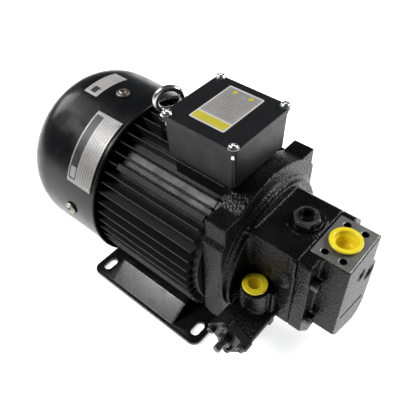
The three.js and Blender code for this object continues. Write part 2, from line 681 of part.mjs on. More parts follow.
function cylinderBlock() {
  // The shoes swing on a tilted ring, so seen along the shaft the circle they follow is a little flat.
  const boreCircle = (pistons.circle * (1 + Math.cos(maxTilt))) / 2;
  const boreRadius = pistons.radius + (pistons.circle - boreCircle) + 0.5;
  const body = rod(barrel.radius, barrel.back, barrel.front, medium);
  const ball = place(sphere(guideBall), tiltX, 0, 0);
  const zone = ball.intersect(brick(tiltX - 3, barrel.back, -40, 40, -40, 40));
  const neck = rod(11.8, tiltX + 2, barrel.back + 1, 20);
  const spline = rod(10.4, tiltX - 10, barrel.front + 1, 14);
  const journal = rod(11.4, tiltX - 10, barrel.back - 2, 14);
  const bores = around(pistons.count, (angle) => {
    const [y, z] = onCircle(boreCircle, angle);
    return place(rod(boreRadius, barrel.back - 2, barrel.portX, small), 0, y, z);
  });
  const ports = around(pistons.count, (angle) => {
    const [y, z] = onCircle(boreCircle, angle);
    return place(rod(3.4, barrel.portX - 1, barrel.front + 1, 6), 0, y, z);
  });
  return cut(join(body, zone, neck), spline, journal, ...bores, ...ports);
}

function valvePlate() {
  const disc = ring(11.5, barrel.radius - 1.6, barrel.front + gap, barrel.front + 3);
  const kidney = (middle) => {
    const shape = new THREE.Shape();
    shape.absarc(0, 0, pistons.circle + 3.4, middle - 1.05, middle + 1.05);
    shape.absarc(0, 0, pistons.circle - 3.4, middle + 1.05, middle - 1.05, true);
    return pushed(shape, barrel.front, barrel.front + 4);
  };
  return cut(disc, kidney(0), kidney(Math.PI));
}

function controlPiston() {
  const nose = arcProfile(lever.piston, 0, Math.PI / 2, 4).map(([along, r]) => [along + lever.piston, r]);
  return turned([...nose, [42, lever.piston], [42, 3], [30, 3], [30, 0]], small);
}

function biasSpring() {
  return coil(5, 0.9, barrel.front + 1.3 - tiltX + swash.face - 1.4, 6, 8);
}

// ---------------------------------------------------------------- pressure compensator
function turnedSquare(side, from, to, corner) {
  const square = pushed(roundedRectangle(side, side, corner), from, to, 'y', 3);
  return place(square.rotate([0, valve.turn, 0]), valve.x, 0, valve.z);
}

function compensatorBody() {
  const housing = turnedSquare(valve.side, valve.root, valve.face, 6);
  const boss = place(rod(outlet.boss, valve.z, outlet.top, 18, 'z'), outlet.x, outlet.y, 0);
  const footing = [valve.x - 15.5, valve.x + 18.5, valve.root - 8, valve.root, valve.z - 18, outlet.top - 3];
  const saddlePlate = brick(...footing);
  const wideClear = rod(bell.wide + 1, flange.front - 9, bell.step + 0.6, large);
  const narrowClear = rod(bell.narrow + 1, flange.front - 9, bell.front + 1.6, large);
  const clearOfCase = brick(flange.front, pumpCase.front + 3, valve.root, 0, -80, 80);
  const cutterRoom = brick(flange.front, pumpCase.front + 3, valve.root - 1.6, 0, outlet.top - 2, 80);
  const port = place(rod(outlet.bore, -21, outlet.top + 1, 14, 'z'), outlet.x, outlet.y, 0);
  const shallow = rod(outlet.seat, outlet.top - outlet.seatDeep, outlet.top + 1, 18, 'z');
  const plugSeat = place(shallow, outlet.x, outlet.y, 0);
  const feed = place(rod(delivery.radius, outlet.y, valve.root + 1, tiny, 'y'), outlet.x + 1, 0, delivery.z);
  const sense = place(rod(2, valve.z, delivery.z, 6, 'z'), outlet.x, outlet.y - 4, 0);
  const onAxis = (bore) => place(bore, valve.x, 0, valve.z);
  const spoolBore = onAxis(rod(spoolRadius + 0.4, valve.face + 13, valve.face + 31, small, 'y'));
  const springBore = onAxis(rod(springRoom, valve.face - 1, valve.face + 14, small, 'y'));
  const outside = cut(join(housing, boss, saddlePlate), wideClear, narrowClear, clearOfCase, cutterRoom);
  return cut(outside, port, plugSeat, feed, sense, spoolBore, springBore);
}

function compensatorCap() {
  const top = valve.face - gap;
  const plate = turnedSquare(valve.plateSide, top - valve.plate, top, 6);
  const recess = place(rod(springRoom, top - 5.2, top + 1, small, 'y'), valve.x, 0, valve.z);
  const thread = place(rod(4.3, top - 20, top, small, 'y'), valve.x, 0, valve.z);
  return cut(plate, recess, thread);
}

function compensatorSpool() {
  return turned([
    [0, 0], [0, spoolRadius], [3.6, spoolRadius], [3.6, 2.6], [7.6, 2.6], [7.6, spoolRadius],
    [14.1, spoolRadius], [14.1, 0],
  ], small, 'y');
}

function adjustingSpring() {
  return coil(4.8, 0.8, 12.6, 4, 8);
}

function springSeat() {
  return rod(6.5, 0, 1.8, small, 'y');
}

function pressureScrew() {
  return turned([
    [valve.screwEnd, 0], [valve.screwEnd, 3.2], [valve.screwEnd + 0.8, 3.8], [valve.face - 3.8, 3.8],
    [valve.face - 3.8, 0],
  ], small, 'y');
}

function lockNut() {
  const across = 13;
  const hexagon = rod(across / Math.sqrt(3), -6, 0, 6, 'y');
  return cut(hexagon, rod(4.3, -7, 1, small, 'y'));
}

// ---------------------------------------------------------------- plugs
function flangedPlug(rim, skirt, stem, depth, socket, socketSides) {
  const body = turned([
    [-depth, 0], [-depth, stem - 1], [-depth + 3, stem], [gap, stem], [gap, skirt], [2, skirt],
    [2.2, rim], [4, rim], [4.4, rim - 1], [4.4, 0],
  ], 18, 'z');
  return cut(body, rod(socket, -depth + 4, 6, socketSides, 'z'));
}

function fillerPlug() {
  const body = turned([
    [-14, 0], [-14, filler.hole - 0.5], [1.5, filler.hole - 0.5], [1.5, filler.washer], [3.2, filler.washer],
    [3.4, filler.head], [7.6, filler.head], [8, 7.6], [filler.high, 7.6], [filler.high, 0],
  ], 18, 'z');
  return cut(body, rod(4.6, 3, filler.high + 1, 6, 'z'));
}

// ---------------------------------------------------------------- assembly
const whole = new THREE.Group();
whole.name = 'axial_piston_pump_with_motor';
const centred = new THREE.Group();
centred.position.x = -(cover.back + cap.front) / 2;
centred.position.y = -(cover.radius + cover.screwHead + valve.screwEnd) / 2;
const shaftLine = new THREE.Group();
shaftLine.position.z = shaftHeight;
whole.add(centred);
centred.add(shaftLine, piece('foot_plate', footPlate(), blackPaint));

function addMotor(group) {
  group.add(piece('motor_frame', motorFrame(), blackPaint));
  group.add(piece('stator_core', statorCore(), electricalSteel));
  group.add(piece('stator_winding', statorWinding(), copper));
  group.add(piece('rotor_core', rotorCore(), electricalSteel));
  group.add(piece('drive_shaft', driveShaft(), brightSteel));
  group.add(piece('rear_end_shield', rearEndShield(), blackPaint));
  group.add(piece('rear_bearing_outer', bearingOuter(), brightSteel, [bearing.back, 0, 0]));
  group.add(piece('rear_bearing_inner', bearingInner(), brightSteel, [bearing.back, 0, 0]));
  group.add(piece('cooling_fan', coolingFan(), blackPlastic));
  group.add(piece('fan_cover', fanCover(), blackPaint));
  around(4, (angle, i) => {
    const [y, z] = [-cover.radius * Math.sin(angle), cover.radius * Math.cos(angle)];
    group.add(piece(`cover_screw_${i + 1}`, coverScrew(), brightSteel, [cover.screwX, y, z], [angle, 0, 0]));
  });
  const plate = curvedPlate(cover.radius + gap, 0.9, cover.screwX - 3, cover.lip - 6.2, 109.5, 158);
  group.add(piece('rating_plate', plate, plateSilver));
  const eyeTurn = [0, 0, eye.turn * degrees];
  group.add(piece('lifting_eye', liftingEye(), brightSteel, [eye.x, 0, eye.centre], eyeTurn));
}

function addTerminalBox(group) {
  const at = [box.x, 0, 0];
  group.add(piece('terminal_box', terminalBox(), blackPaint, at));
  group.add(piece('terminal_box_lid', terminalBoxLid(), blackPaint, at));
  group.add(piece('terminal_block', terminalBlock(), blackPlastic, at));
  fourCorners(box.screwReach, (x, y) => [x, y]).forEach(([x, y], i) => {
    group.add(piece(`lid_screw_${i + 1}`, lidScrew(), brightSteel, [box.x + x, y, box.top]));
  });
}

function addPumpHousing(group) {
  group.add(piece('pump_body', pumpBody(), castPaint));
  group.add(piece('shaft_seal', shaftSeal(), rubber));
  group.add(piece('front_bearing_outer', bearingOuter(), brightSteel, [bearing.front, 0, 0]));
  group.add(piece('front_bearing_inner', bearingInner(), brightSteel, [bearing.front, 0, 0]));
  group.add(piece('end_cover', endCover(), castPaint));
  group.add(piece('valve_plate', valvePlate(), bronze));
  group.add(piece('filler_plug', fillerPlug(), darkSteel, [filler.x, filler.y, pumpCase.top]));
  const inletPlug = flangedPlug(14.9, 12.6, inlet.bore - 0.5, 12, 7.6, 16);
  group.add(piece('inlet_plug', inletPlug, yellowPlastic, [inlet.x, inlet.y, pumpCase.top]));
  const outletPlug = flangedPlug(12, 9, outlet.bore - 0.5, 11, 3.6, 6);
  group.add(piece('outlet_plug', outletPlug, yellowPlastic, [outlet.x, outlet.y, outlet.top]));
}

function addRotatingGroup(group) {
  const tiltAxis = [tiltX, 0, 0];
  group.add(piece('swash_plate', swashPlate(), darkSteel, tiltAxis));
  group.add(piece('retainer_plate', retainerPlate(), brightSteel, tiltAxis));
  group.add(piece('cylinder_block', cylinderBlock(), darkSteel));
  around(pistons.count, (angle, i) => {
    const [y, z] = onCircle(pistons.circle, angle);
    group.add(piece(`piston_${i + 1}`, piston(), brightSteel, [tiltX, y, z]));
    group.add(piece(`piston_shoe_${i + 1}`, pistonShoe(), bronze, [tiltX, y, z]));
  });
  const noseX = tiltX - swash.face + 0.5;
  group.add(piece('control_piston', controlPiston(), brightSteel, [noseX, lever.y, lever.z]));
  group.add(piece('bias_spring', biasSpring(), brightSteel, [tiltX - swash.face + 1.2, 0, biasZ]));
}

function addCompensator(group) {
  const onAxis = (y) => [valve.x, y, valve.z];
  group.add(piece('compensator_body', compensatorBody(), castPaint));
  group.add(piece('compensator_cap', compensatorCap(), castPaint));
  group.add(piece('compensator_spool', compensatorSpool(), brightSteel, onAxis(valve.face + 14.4)));
  const spring = piece('adjusting_spring', adjustingSpring(), brightSteel, onAxis(valve.face + 13.2));
  spring.rotation.z = -Math.PI / 2;
  group.add(spring);
  group.add(piece('spring_seat', springSeat(), darkSteel, onAxis(valve.face - 3.4)));
  group.add(piece('pressure_screw', pressureScrew(), darkSteel, onAxis(0)));
  group.add(piece('lock_nut', lockNut(), darkSteel, onAxis(valve.face - 2 * gap - valve.plate)));
}

addMotor(shaftLine);
addTerminalBox(shaftLine);
addPumpHousing(shaftLine);
addRotatingGroup(shaftLine);
addCompensator(shaftLine);

export default whole;
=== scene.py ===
# Looks of an electric motor with a variable axial piston pump on its shaft.
# Pieces are drawn in millimetres about the shaft line, with x = 0 halfway between the foot slots,
# and are scaled to metres and moved onto the frame as the last step.
import math

import bmesh
import bpy
from mathutils import Matrix, Vector


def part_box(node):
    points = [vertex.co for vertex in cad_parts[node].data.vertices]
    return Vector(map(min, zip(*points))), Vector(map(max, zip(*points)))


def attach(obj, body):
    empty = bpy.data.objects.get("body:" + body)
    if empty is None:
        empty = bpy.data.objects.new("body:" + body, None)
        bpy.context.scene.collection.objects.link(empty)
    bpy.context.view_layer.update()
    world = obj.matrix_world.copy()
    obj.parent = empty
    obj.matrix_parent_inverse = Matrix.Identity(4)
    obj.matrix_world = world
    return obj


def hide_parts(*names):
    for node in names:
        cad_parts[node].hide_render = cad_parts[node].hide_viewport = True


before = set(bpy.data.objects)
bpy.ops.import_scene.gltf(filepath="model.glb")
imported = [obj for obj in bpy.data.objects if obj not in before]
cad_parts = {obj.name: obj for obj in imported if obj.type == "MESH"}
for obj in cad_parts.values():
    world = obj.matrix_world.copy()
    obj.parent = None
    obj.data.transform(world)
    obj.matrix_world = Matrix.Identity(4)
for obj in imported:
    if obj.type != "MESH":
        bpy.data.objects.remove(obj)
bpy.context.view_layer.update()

# ---------------------------------------------------------------- driving sizes
MM = 0.001
foot_low, foot_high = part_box("foot_plate")
cover_low, cover_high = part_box("fan_cover")
HOME = Vector((
    (foot_low.x + foot_high.x) / 2,
    (cover_low.y + cover_high.y) / 2,
    (cover_low.z + cover_high.z) / 2,
))


def span(node):
    """Lowest and highest corner of a CAD node, in millimetres about the shaft line."""
    low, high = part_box(node)
    return (low - HOME) / MM, (high - HOME) / MM


ROUND = 144          # sides of the biggest round pieces
FINE = 64            # sides of plugs, screws and rings

GROUND = -HOME.z / MM
FIN_COUNT = 50
FIN_TIP = 91.0
FIN_ROOT = 77.0
FRAME_BACK = span("motor_frame")[0].x
FRAME_FRONT = span("motor_frame")[1].x
FIN_FRONT = FRAME_FRONT - 6
FRAME_BORE = 71.0
BOX_X = 44.5
BOX_TOP = span("terminal_box_lid")[1].z
BOX_BOTTOM = span("terminal_box")[0].z
LID_LONG = 82.0
LID_WIDE = 80.5
EYE_X = -26.0
EYE_SEAT = 99.3
EYE_TURN = 57.0
COVER_BACK = span("fan_cover")[0].x
COVER_LIP = span("fan_cover")[1].x
COVER_RADIUS = 95.0
SHOULDER_LONG = 45.0
SHOULDER_DEEP = 36.0
COVER_SCREW_X = FRAME_BACK - 10
CASE_TOP = 60.0
CAP_BACK = span("end_cover")[0].x + 6
CAP_FRONT = span("end_cover")[1].x
INLET = Vector((177.4, -2, CASE_TOP))
FILLER = Vector((138, -2, CASE_TOP))
OUTLET = Vector((124.5, -56.5, 8.5))
VALVE_X = 124.5
VALVE_Z = -30.0
VALVE_FACE = -88.0
VALVE_TURN = 40.0
SCREW_END = -114.0


# ---------------------------------------------------------------- meshes
def mesh_from(build):
    """A mesh made by a function that fills an empty bmesh."""
    shape = bmesh.new()
    build(shape)
    bmesh.ops.recalc_face_normals(shape, faces=shape.faces)
    mesh = bpy.data.meshes.new("shape")
    shape.to_mesh(mesh)
    shape.free()
    return mesh


def to_axis(axis):
    """Turns a piece drawn along Z so that it points along the named axis."""
    turns = {
        "X": Matrix(((0, 0, 1, 0), (1, 0, 0, 0), (0, 1, 0, 0), (0, 0, 0, 1))),
        "Y": Matrix(((0, 1, 0, 0), (0, 0, 1, 0), (1, 0, 0, 0), (0, 0, 0, 1))),
        "Z": Matrix.Identity(4),
    }
    return turns[axis]


def turned(profile, sides=FINE, axis="X"):
    """A lathe shape. The profile lists (along, radius); ends on the axis are closed to a point."""
    def build(shape):
        rings = []
        for along, radius in profile:
            if radius < 1e-6:
                rings.append([shape.verts.new((0, 0, along))])
                continue
            angles = [2 * math.pi * i / sides for i in range(sides)]
            rings.append([
                shape.verts.new((radius * math.cos(a), radius * math.sin(a), along)) for a in angles
            ])
        for ring, following in zip(rings, rings[1:]):
            join_rings(shape, ring, following)
    mesh = mesh_from(build)
    mesh.transform(to_axis(axis))
    return mesh


def join_rings(shape, ring, following):
    count = max(len(ring), len(following))
    for i in range(count):
        j = (i + 1) % count
        near = [ring[i % len(ring)], ring[j % len(ring)]]
        far = [following[j % len(following)], following[i % len(following)]]
        corners = list(dict.fromkeys(near + far))
        if len(corners) > 2:
            shape.faces.new(corners)


def tube(inner, outer, low, high, sides=FINE, axis="X"):
    return turned([(low, inner), (low, outer), (high, outer), (high, inner), (low, inner)], sides, axis)


def disc(radius, low, high, sides=FINE, axis="X"):
    return turned([(low, 0), (low, radius), (high, radius), (high, 0)], sides, axis)


def prism(outline, low, high, axis="X"):
    """A flat outline pushed along an axis: (y, z) along X, (z, x) along Y, (x, y) along Z."""
    def build(shape):
        bottom = [shape.verts.new((u, v, low)) for u, v in outline]
        top = [shape.verts.new((u, v, high)) for u, v in outline]
        shape.faces.new(bottom)
        shape.faces.new(top)
        join_rings(shape, bottom, top)
    mesh = mesh_from(build)
    mesh.transform(to_axis(axis))
    return mesh


def brick(low, high):
    x0, y0, z0 = low
    x1, y1, z1 = high
    return prism([(x0, y0), (x1, y0), (x1, y1), (x0, y1)], z0, z1, "Z")


def rounded_rectangle(long, wide, corner, steps=8):
    points = []
    for middle_u, middle_v, start in ((1, 1, 0), (-1, 1, 90), (-1, -1, 180), (1, -1, 270)):
        for i in range(steps + 1):
            angle = math.radians(start + 90 * i / steps)
            u = middle_u * (long / 2 - corner) + corner * math.cos(angle)
            v = middle_v * (wide / 2 - corner) + corner * math.sin(angle)
            points.append((u, v))
    return points


def lofted(levels):
    """Outlines with equal point counts, stacked along Z and closed at both ends: [(z, outline)]."""
    def build(shape):
        rings = [[shape.verts.new((u, v, z)) for u, v in outline] for z, outline in levels]
        shape.faces.new(rings[0])
        shape.faces.new(rings[-1])
        for ring, following in zip(rings, rings[1:]):
            join_rings(shape, ring, following)
    return mesh_from(build)


def moved(mesh, offset=(0, 0, 0), turn=(0, 0, 0)):
    """Turned by degrees about X, then Y, then Z, and then shifted."""
    about_x, about_y, about_z = (Matrix.Rotation(math.radians(t), 4, axis) for t, axis in zip(turn, "XYZ"))
    rotation = about_z @ about_y @ about_x
    mesh.transform(Matrix.Translation(Vector(offset)) @ rotation)
    return mesh


def joined(*meshes):
    shape = bmesh.new()
    for mesh in meshes:
        shape.from_mesh(mesh)
    whole = bpy.data.meshes.new("shape")
    shape.to_mesh(whole)
    shape.free()
    return whole


def modified(mesh, *settings):
    """The mesh with modifiers applied in order: (type, {property: value})."""
    carrier = bpy.data.objects.new("carrier", mesh)
    bpy.context.scene.collection.objects.link(carrier)
    for kind, values in settings:
        modifier = carrier.modifiers.new(kind, kind)
        for key, value in values.items():
            if key in modifier.bl_rna.properties:
                setattr(modifier, key, value)
            else:
                modifier[key] = value
    bpy.context.view_layer.update()
    evaluated = carrier.evaluated_get(bpy.context.evaluated_depsgraph_get())
    result = bpy.data.meshes.new_from_object(evaluated)
    bpy.data.objects.remove(carrier)
    return result


def smoothed(mesh, sharp_above=38):
    mesh.polygons.foreach_set("use_smooth", [True] * len(mesh.polygons))
    mesh.set_sharp_from_angle(angle=math.radians(sharp_above))
    return mesh


def softened(mesh, width, segments=2, angle=32):
    """Rounds the edges that are sharper than an angle, and shades the flats flat."""
    smoothed(mesh, 89)
    bevel = {
        "width": width, "segments": segments, "limit_method": "ANGLE", "angle_limit": math.radians(angle),
        "use_clamp_overlap": True, "miter_outer": "MITER_ARC",
    }
    return modified(mesh, ("BEVEL", bevel), ("WEIGHTED_NORMAL", {"weight": 80, "keep_sharp": True}))


def carved(mesh, *cutters):
    """The mesh with other closed shapes cut out of it."""
    tool = bpy.data.objects.new("cutter", joined(*cutters))
    bpy.context.scene.collection.objects.link(tool)
    tool.hide_render = True
    settings = {"object": tool, "operation": "DIFFERENCE", "solver": "EXACT", "use_self": True}
    result = modified(mesh, ("BOOLEAN", settings))
    bpy.data.objects.remove(tool)
    return result


def kept_inside(mesh, other):
    """The part of the mesh that lies inside another closed shape."""
    tool = bpy.data.objects.new("keeper", other)
    bpy.context.scene.collection.objects.link(tool)
    result = modified(mesh, ("BOOLEAN", {"object": tool, "operation": "INTERSECT", "solver": "EXACT"}))
    bpy.data.objects.remove(tool)
    return result


def cast_over(meshes, voxel, rounds):
    """Overlapping closed shapes melted into one casting with rounded edges and corners."""
    whole = joined(*meshes)
    skin = {"mode": "VOXEL", "voxel_size": voxel, "use_smooth_shade": True}
    return modified(whole, ("REMESH", skin), ("SMOOTH", {"factor": 0.5, "iterations": rounds}))


def copy_of(node):
    """A CAD node's shape with its loose triangles merged, in millimetres about the shaft line."""
    shape = bmesh.new()
    shape.from_mesh(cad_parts[node].data)
    bmesh.ops.remove_doubles(shape, verts=shape.verts, dist=1e-6)
    mesh = bpy.data.meshes.new("shape")
    shape.to_mesh(mesh)
    shape.free()
    mesh.transform(Matrix.Scale(1 / MM, 4) @ Matrix.Translation(-HOME))
    mesh.materials.clear()
    return mesh


# ---------------------------------------------------------------- repeats, by Geometry Nodes
def new_tree(name, inputs):
    tree = bpy.data.node_groups.new(name, "GeometryNodeTree")
    tree.is_modifier = True
    for label, kind in inputs:
        tree.interface.new_socket(name=label, in_out="INPUT", socket_type=kind)
    tree.interface.new_socket(name="Geometry", in_out="OUTPUT", socket_type="NodeSocketGeometry")
    return tree


def math_node(tree, operation, first, second=None):
    """A Math node; each operand is a number or a socket."""
    node = tree.nodes.new("ShaderNodeMath")
    node.operation = operation
    for socket, value in zip(node.inputs, (first, second)):
        if value is None:
            continue
        if isinstance(value, (int, float)):
            socket.default_value = value
        else:
            tree.links.new(value, socket)
    return node.outputs[0]


def finish_tree(tree, instances, given):
    """Realize Instances, then Set Material, then the output."""
    real = tree.nodes.new("GeometryNodeRealizeInstances")
    paint = tree.nodes.new("GeometryNodeSetMaterial")
    end = tree.nodes.new("NodeGroupOutput")
    tree.links.new(instances, real.inputs["Geometry"])
    tree.links.new(real.outputs["Geometry"], paint.inputs["Geometry"])
    tree.links.new(given["Finish"], paint.inputs["Material"])
    tree.links.new(paint.outputs["Geometry"], end.inputs["Geometry"])
    return tree


def round_tree():
    """Repeats the item round the shaft line, leaving out those inside a gap."""
    tree = new_tree("repeat_round_the_shaft", [
        ("Item", "NodeSocketGeometry"), ("Count", "NodeSocketInt"), ("First Angle", "NodeSocketFloat"),
        ("Gap Middle", "NodeSocketFloat"), ("Gap Half Width", "NodeSocketFloat"),
        ("Finish", "NodeSocketMaterial"),
    ])
    given = tree.nodes.new("NodeGroupInput").outputs
    points = tree.nodes.new("GeometryNodePoints")
    tree.links.new(given["Count"], points.inputs["Count"])
    step = math_node(tree, "DIVIDE", 2 * math.pi, given["Count"])
    index = tree.nodes.new("GeometryNodeInputIndex").outputs[0]
    angle = math_node(tree, "ADD", math_node(tree, "MULTIPLY", index, step), given["First Angle"])
    from_gap = math_node(tree, "SUBTRACT", angle, given["Gap Middle"])
    wrapped = tree.nodes.new("ShaderNodeMath")
    wrapped.operation = "WRAP"
    tree.links.new(from_gap, wrapped.inputs[0])
    wrapped.inputs[1].default_value = math.pi
    wrapped.inputs[2].default_value = -math.pi
    away = math_node(tree, "ABSOLUTE", wrapped.outputs[0])
    keep = math_node(tree, "GREATER_THAN", away, given["Gap Half Width"])
    turn = tree.nodes.new("ShaderNodeCombineXYZ")
    tree.links.new(angle, turn.inputs["X"])
    copies = tree.nodes.new("GeometryNodeInstanceOnPoints")
    tree.links.new(points.outputs[0], copies.inputs["Points"])
    tree.links.new(keep, copies.inputs["Selection"])
    tree.links.new(given["Item"], copies.inputs["Instance"])
    tree.links.new(turn.outputs[0], copies.inputs["Rotation"])
    return finish_tree(tree, copies.outputs[0], given)


def corner_tree():
    """Repeats the item at the four corners of a rectangle, which is then turned and moved."""
    tree = new_tree("repeat_at_four_corners", [
        ("Item", "NodeSocketGeometry"), ("Pitch X", "NodeSocketFloat"), ("Pitch Y", "NodeSocketFloat"),
        ("Centre", "NodeSocketVector"), ("Turn", "NodeSocketRotation"), ("Finish", "NodeSocketMaterial"),
    ])
    given = tree.nodes.new("NodeGroupInput").outputs
    grid = tree.nodes.new("GeometryNodeMeshGrid")
    grid.inputs["Vertices X"].default_value = 2
    grid.inputs["Vertices Y"].default_value = 2
    tree.links.new(given["Pitch X"], grid.inputs["Size X"])
    tree.links.new(given["Pitch Y"], grid.inputs["Size Y"])
    copies = tree.nodes.new("GeometryNodeInstanceOnPoints")
    tree.links.new(grid.outputs["Mesh"], copies.inputs["Points"])
    tree.links.new(given["Item"], copies.inputs["Instance"])
    shift = tree.nodes.new("GeometryNodeTransform")
    tree.links.new(copies.outputs[0], shift.inputs["Geometry"])
    tree.links.new(given["Centre"], shift.inputs["Translation"])
    tree.links.new(given["Turn"], shift.inputs["Rotation"])
    return finish_tree(tree, shift.outputs[0], given)


def repeated(item, tree, **sizes):
    """The item's mesh after a repeat tree has run on it. Sizes are the tree's named inputs."""
    inputs = {s.name: s.identifier for s in tree.interface.items_tree if s.in_out == "INPUT"}
    values = {inputs[label.replace("_", " ").title()]: value for label, value in sizes.items()}
    return modified(item, ("NODES", {"node_group": tree, **values}))


# ---------------------------------------------------------------- finishes
class Finish:
    """A material under construction: short ways to add and join the nodes every finish uses."""

    def __init__(self, name, roughness=0.5, metallic=0.0):
        self.material = bpy.data.materials.new(name)
        self.material.use_nodes = True
        self.nodes = self.material.node_tree.nodes
        self.links = self.material.node_tree.links
        self.shader = self.nodes["Principled BSDF"]
        self.shader.inputs["Roughness"].default_value = roughness
        self.shader.inputs["Metallic"].default_value = metallic
        self.place = self.nodes.new("ShaderNodeTexCoord")

    def noise(self, scale, detail=4.0, stretch=None):
        """Noise on the piece's own coordinates. A stretch below 1 draws the grain out on that axis."""
        node = self.nodes.new("ShaderNodeTexNoise")
        node.inputs["Scale"].default_value = scale
        node.inputs["Detail"].default_value = detail
        source = self.place.outputs["Object"]
        if stretch:
            mapping = self.nodes.new("ShaderNodeMapping")
            mapping.inputs["Scale"].default_value = stretch
            self.links.new(source, mapping.inputs["Vector"])
            source = mapping.outputs[0]
        self.links.new(source, node.inputs["Vector"])
        return node.outputs["Fac"]

    def cells(self, scale):
        node = self.nodes.new("ShaderNodeTexVoronoi")
        node.inputs["Scale"].default_value = scale
        self.links.new(self.place.outputs["Object"], node.inputs["Vector"])
        return node.outputs["Distance"]

    def spread(self, source, low, high, from_low=0.3, from_high=0.7):
        """Maps a pattern onto a range of values."""
        node = self.nodes.new("ShaderNodeMapRange")
        node.inputs["From Min"].default_value = from_low
        node.inputs["From Max"].default_value = from_high
        node.inputs["To Min"].default_value = low
        node.inputs["To Max"].default_value = high
        self.links.new(source, node.inputs["Value"])
        return node.outputs[0]

    def blend(self, amount, first, second):
        """Two colours, or sockets, mixed by a pattern."""
        node = self.nodes.new("ShaderNodeMix")
        node.data_type = "RGBA"
        self.links.new(amount, node.inputs[0])
        for socket, value in ((node.inputs[6], first), (node.inputs[7], second)):
            if isinstance(value, tuple):
                socket.default_value = (*value, 1)
            else:
                self.links.new(value, socket)
        return node.outputs[2]

    def sum(self, first, second, share=1.0):
        node = self.nodes.new("ShaderNodeMath")
        node.operation = "MULTIPLY_ADD"
        self.links.new(second, node.inputs[0])
        node.inputs[1].default_value = share
        self.links.new(first, node.inputs[2])
        return node.outputs[0]

    def edges(self, start=0.52, end=0.6):
        """High where the surface turns sharply outwards."""
        shape = self.nodes.new("ShaderNodeNewGeometry")
        return self.spread(shape.outputs["Pointiness"], 0, 1, start, end)

    def colour(self, socket):
        self.links.new(socket, self.shader.inputs["Base Color"])

    def roughness(self, socket):
        self.links.new(socket, self.shader.inputs["Roughness"])

    def bump(self, height, depth):
        """Relief in millimetres."""
        node = self.nodes.new("ShaderNodeBump")
        node.inputs["Distance"].default_value = depth * MM
        self.links.new(height, node.inputs["Height"])
        self.links.new(node.outputs[0], self.shader.inputs["Normal"])


def enamel(name, tone, rough, grain_depth, wear):
    """Sprayed black enamel: a little uneven, with orange peel, and edges painted lighter, partly as wear and
    partly as a painted highlight.
    """
    finish = Finish(name)
    patches = finish.spread(finish.noise(28, 5), 0, 1)
    base = finish.blend(patches, tuple(c * 0.75 for c in tone), tuple(c * 1.5 for c in tone))
    # Edges painted lighter grey: partly wear, partly a painted highlight along the edges.
    edge_wear_and_highlight = finish.spread(finish.edges(0.53, 0.66), 0, wear, 0, 1)
    finish.colour(finish.blend(edge_wear_and_highlight, base, (0.11, 0.11, 0.115)))
    finish.roughness(finish.spread(finish.noise(70, 4), rough - 0.07, rough + 0.08))
    peel = finish.sum(finish.noise(620, 2), finish.noise(150, 3), 0.6)
    finish.bump(peel, grain_depth)
    finish.shader.inputs["Specular IOR Level"].default_value = 0.22
    return finish


def satin_black():
    return enamel("satin_black_enamel", (0.0045, 0.0045, 0.005), 0.33, 0.035, 0.4).material


def gloss_black():
    finish = enamel("gloss_black_enamel", (0.004, 0.004, 0.0045), 0.26, 0.012, 0.35)
    finish.shader.inputs["Coat Weight"].default_value = 0.12
    finish.shader.inputs["Coat Roughness"].default_value = 0.1
    return finish.material


def foot_black():
    """Thinner paint on the pressed foot, with its edges painted a stronger grey: partly scuffs through the
    paint, partly a painted sheen.
    """
    # A larger edge amount: the foot's edges get more painted sheen and scuff grey.
    finish = enamel("scuffed_and_sheen_painted_foot_enamel", (0.006, 0.006, 0.0065), 0.24, 0.03, 0.7)
    finish.shader.inputs["Specular IOR Level"].default_value = 0.6
    return finish.material


def cast_black():
    """Black paint over rough sand-cast iron: pits, grains and sparkling high spots."""
    finish = Finish("black_paint_on_cast_iron")
    patches = finish.spread(finish.noise(45, 6), 0, 1)
    base = finish.blend(patches, (0.0015, 0.0015, 0.0017), (0.0045, 0.0045, 0.005))
    # Edges painted lighter grey: partly wear from rubbing, partly a painted highlight along the cast edges.
    edge_rubbing_and_highlight = finish.spread(finish.edges(0.52, 0.7), 0, 0.45, 0, 1)
    finish.colour(finish.blend(edge_rubbing_and_highlight, base, (0.10, 0.10, 0.105)))
    finish.roughness(finish.spread(finish.noise(900, 2), 0.16, 0.42))
    lumps = finish.sum(finish.noise(420, 3), finish.cells(380), 0.8)
    finish.bump(finish.sum(lumps, finish.noise(90, 3), 0.6), 0.5)
    finish.shader.inputs["Specular IOR Level"].default_value = 0.2
    return finish.material


def ground_iron():
    """A ground face: bare grey iron with fine straight scratches and a thin oil film."""
    finish = Finish("ground_iron", metallic=0.75)
    scratches = finish.noise(900, 3, (1.0, 0.03, 1.0))
    stain = finish.spread(finish.noise(38, 5), 0, 1)
    base = finish.blend(stain, (0.20, 0.195, 0.18), (0.33, 0.325, 0.31))
    finish.colour(finish.blend(finish.spread(scratches, 0, 0.35), base, (0.12, 0.118, 0.11)))
    finish.roughness(finish.spread(scratches, 0.34, 0.55))
    finish.bump(scratches, 0.02)
    return finish.material


def steel(name, dark, light, rough, grain=700, depth=0.01, stretch=None):
    """Plated, ground or blackened steel, with faint stains and tool marks."""
    finish = Finish(name, metallic=1.0)
    finish.colour(finish.blend(finish.spread(finish.noise(60, 5), 0, 1), dark, light))
    marks = finish.noise(grain, 3, stretch)
    finish.roughness(finish.spread(marks, rough - 0.06, rough + 0.1))
    finish.bump(marks, depth)
    return finish


def bright_steel():
    return steel("zinc_plated_steel", (0.42, 0.42, 0.41), (0.66, 0.66, 0.64), 0.22).material


def worn_nickel():
    """Warm grey nickel on the washers of the cover screws."""
    return steel("worn_nickel", (0.26, 0.24, 0.21), (0.44, 0.42, 0.37), 0.36).material


def ground_steel():
    tones = (0.48, 0.48, 0.47), (0.68, 0.68, 0.66)
    return steel("ground_steel", *tones, 0.2, 1200, 0.006, (0.1, 1, 1)).material


def black_oxide():
    return steel("black_oxide_steel", (0.05, 0.05, 0.055), (0.11, 0.11, 0.115), 0.34, 500, 0.02).material


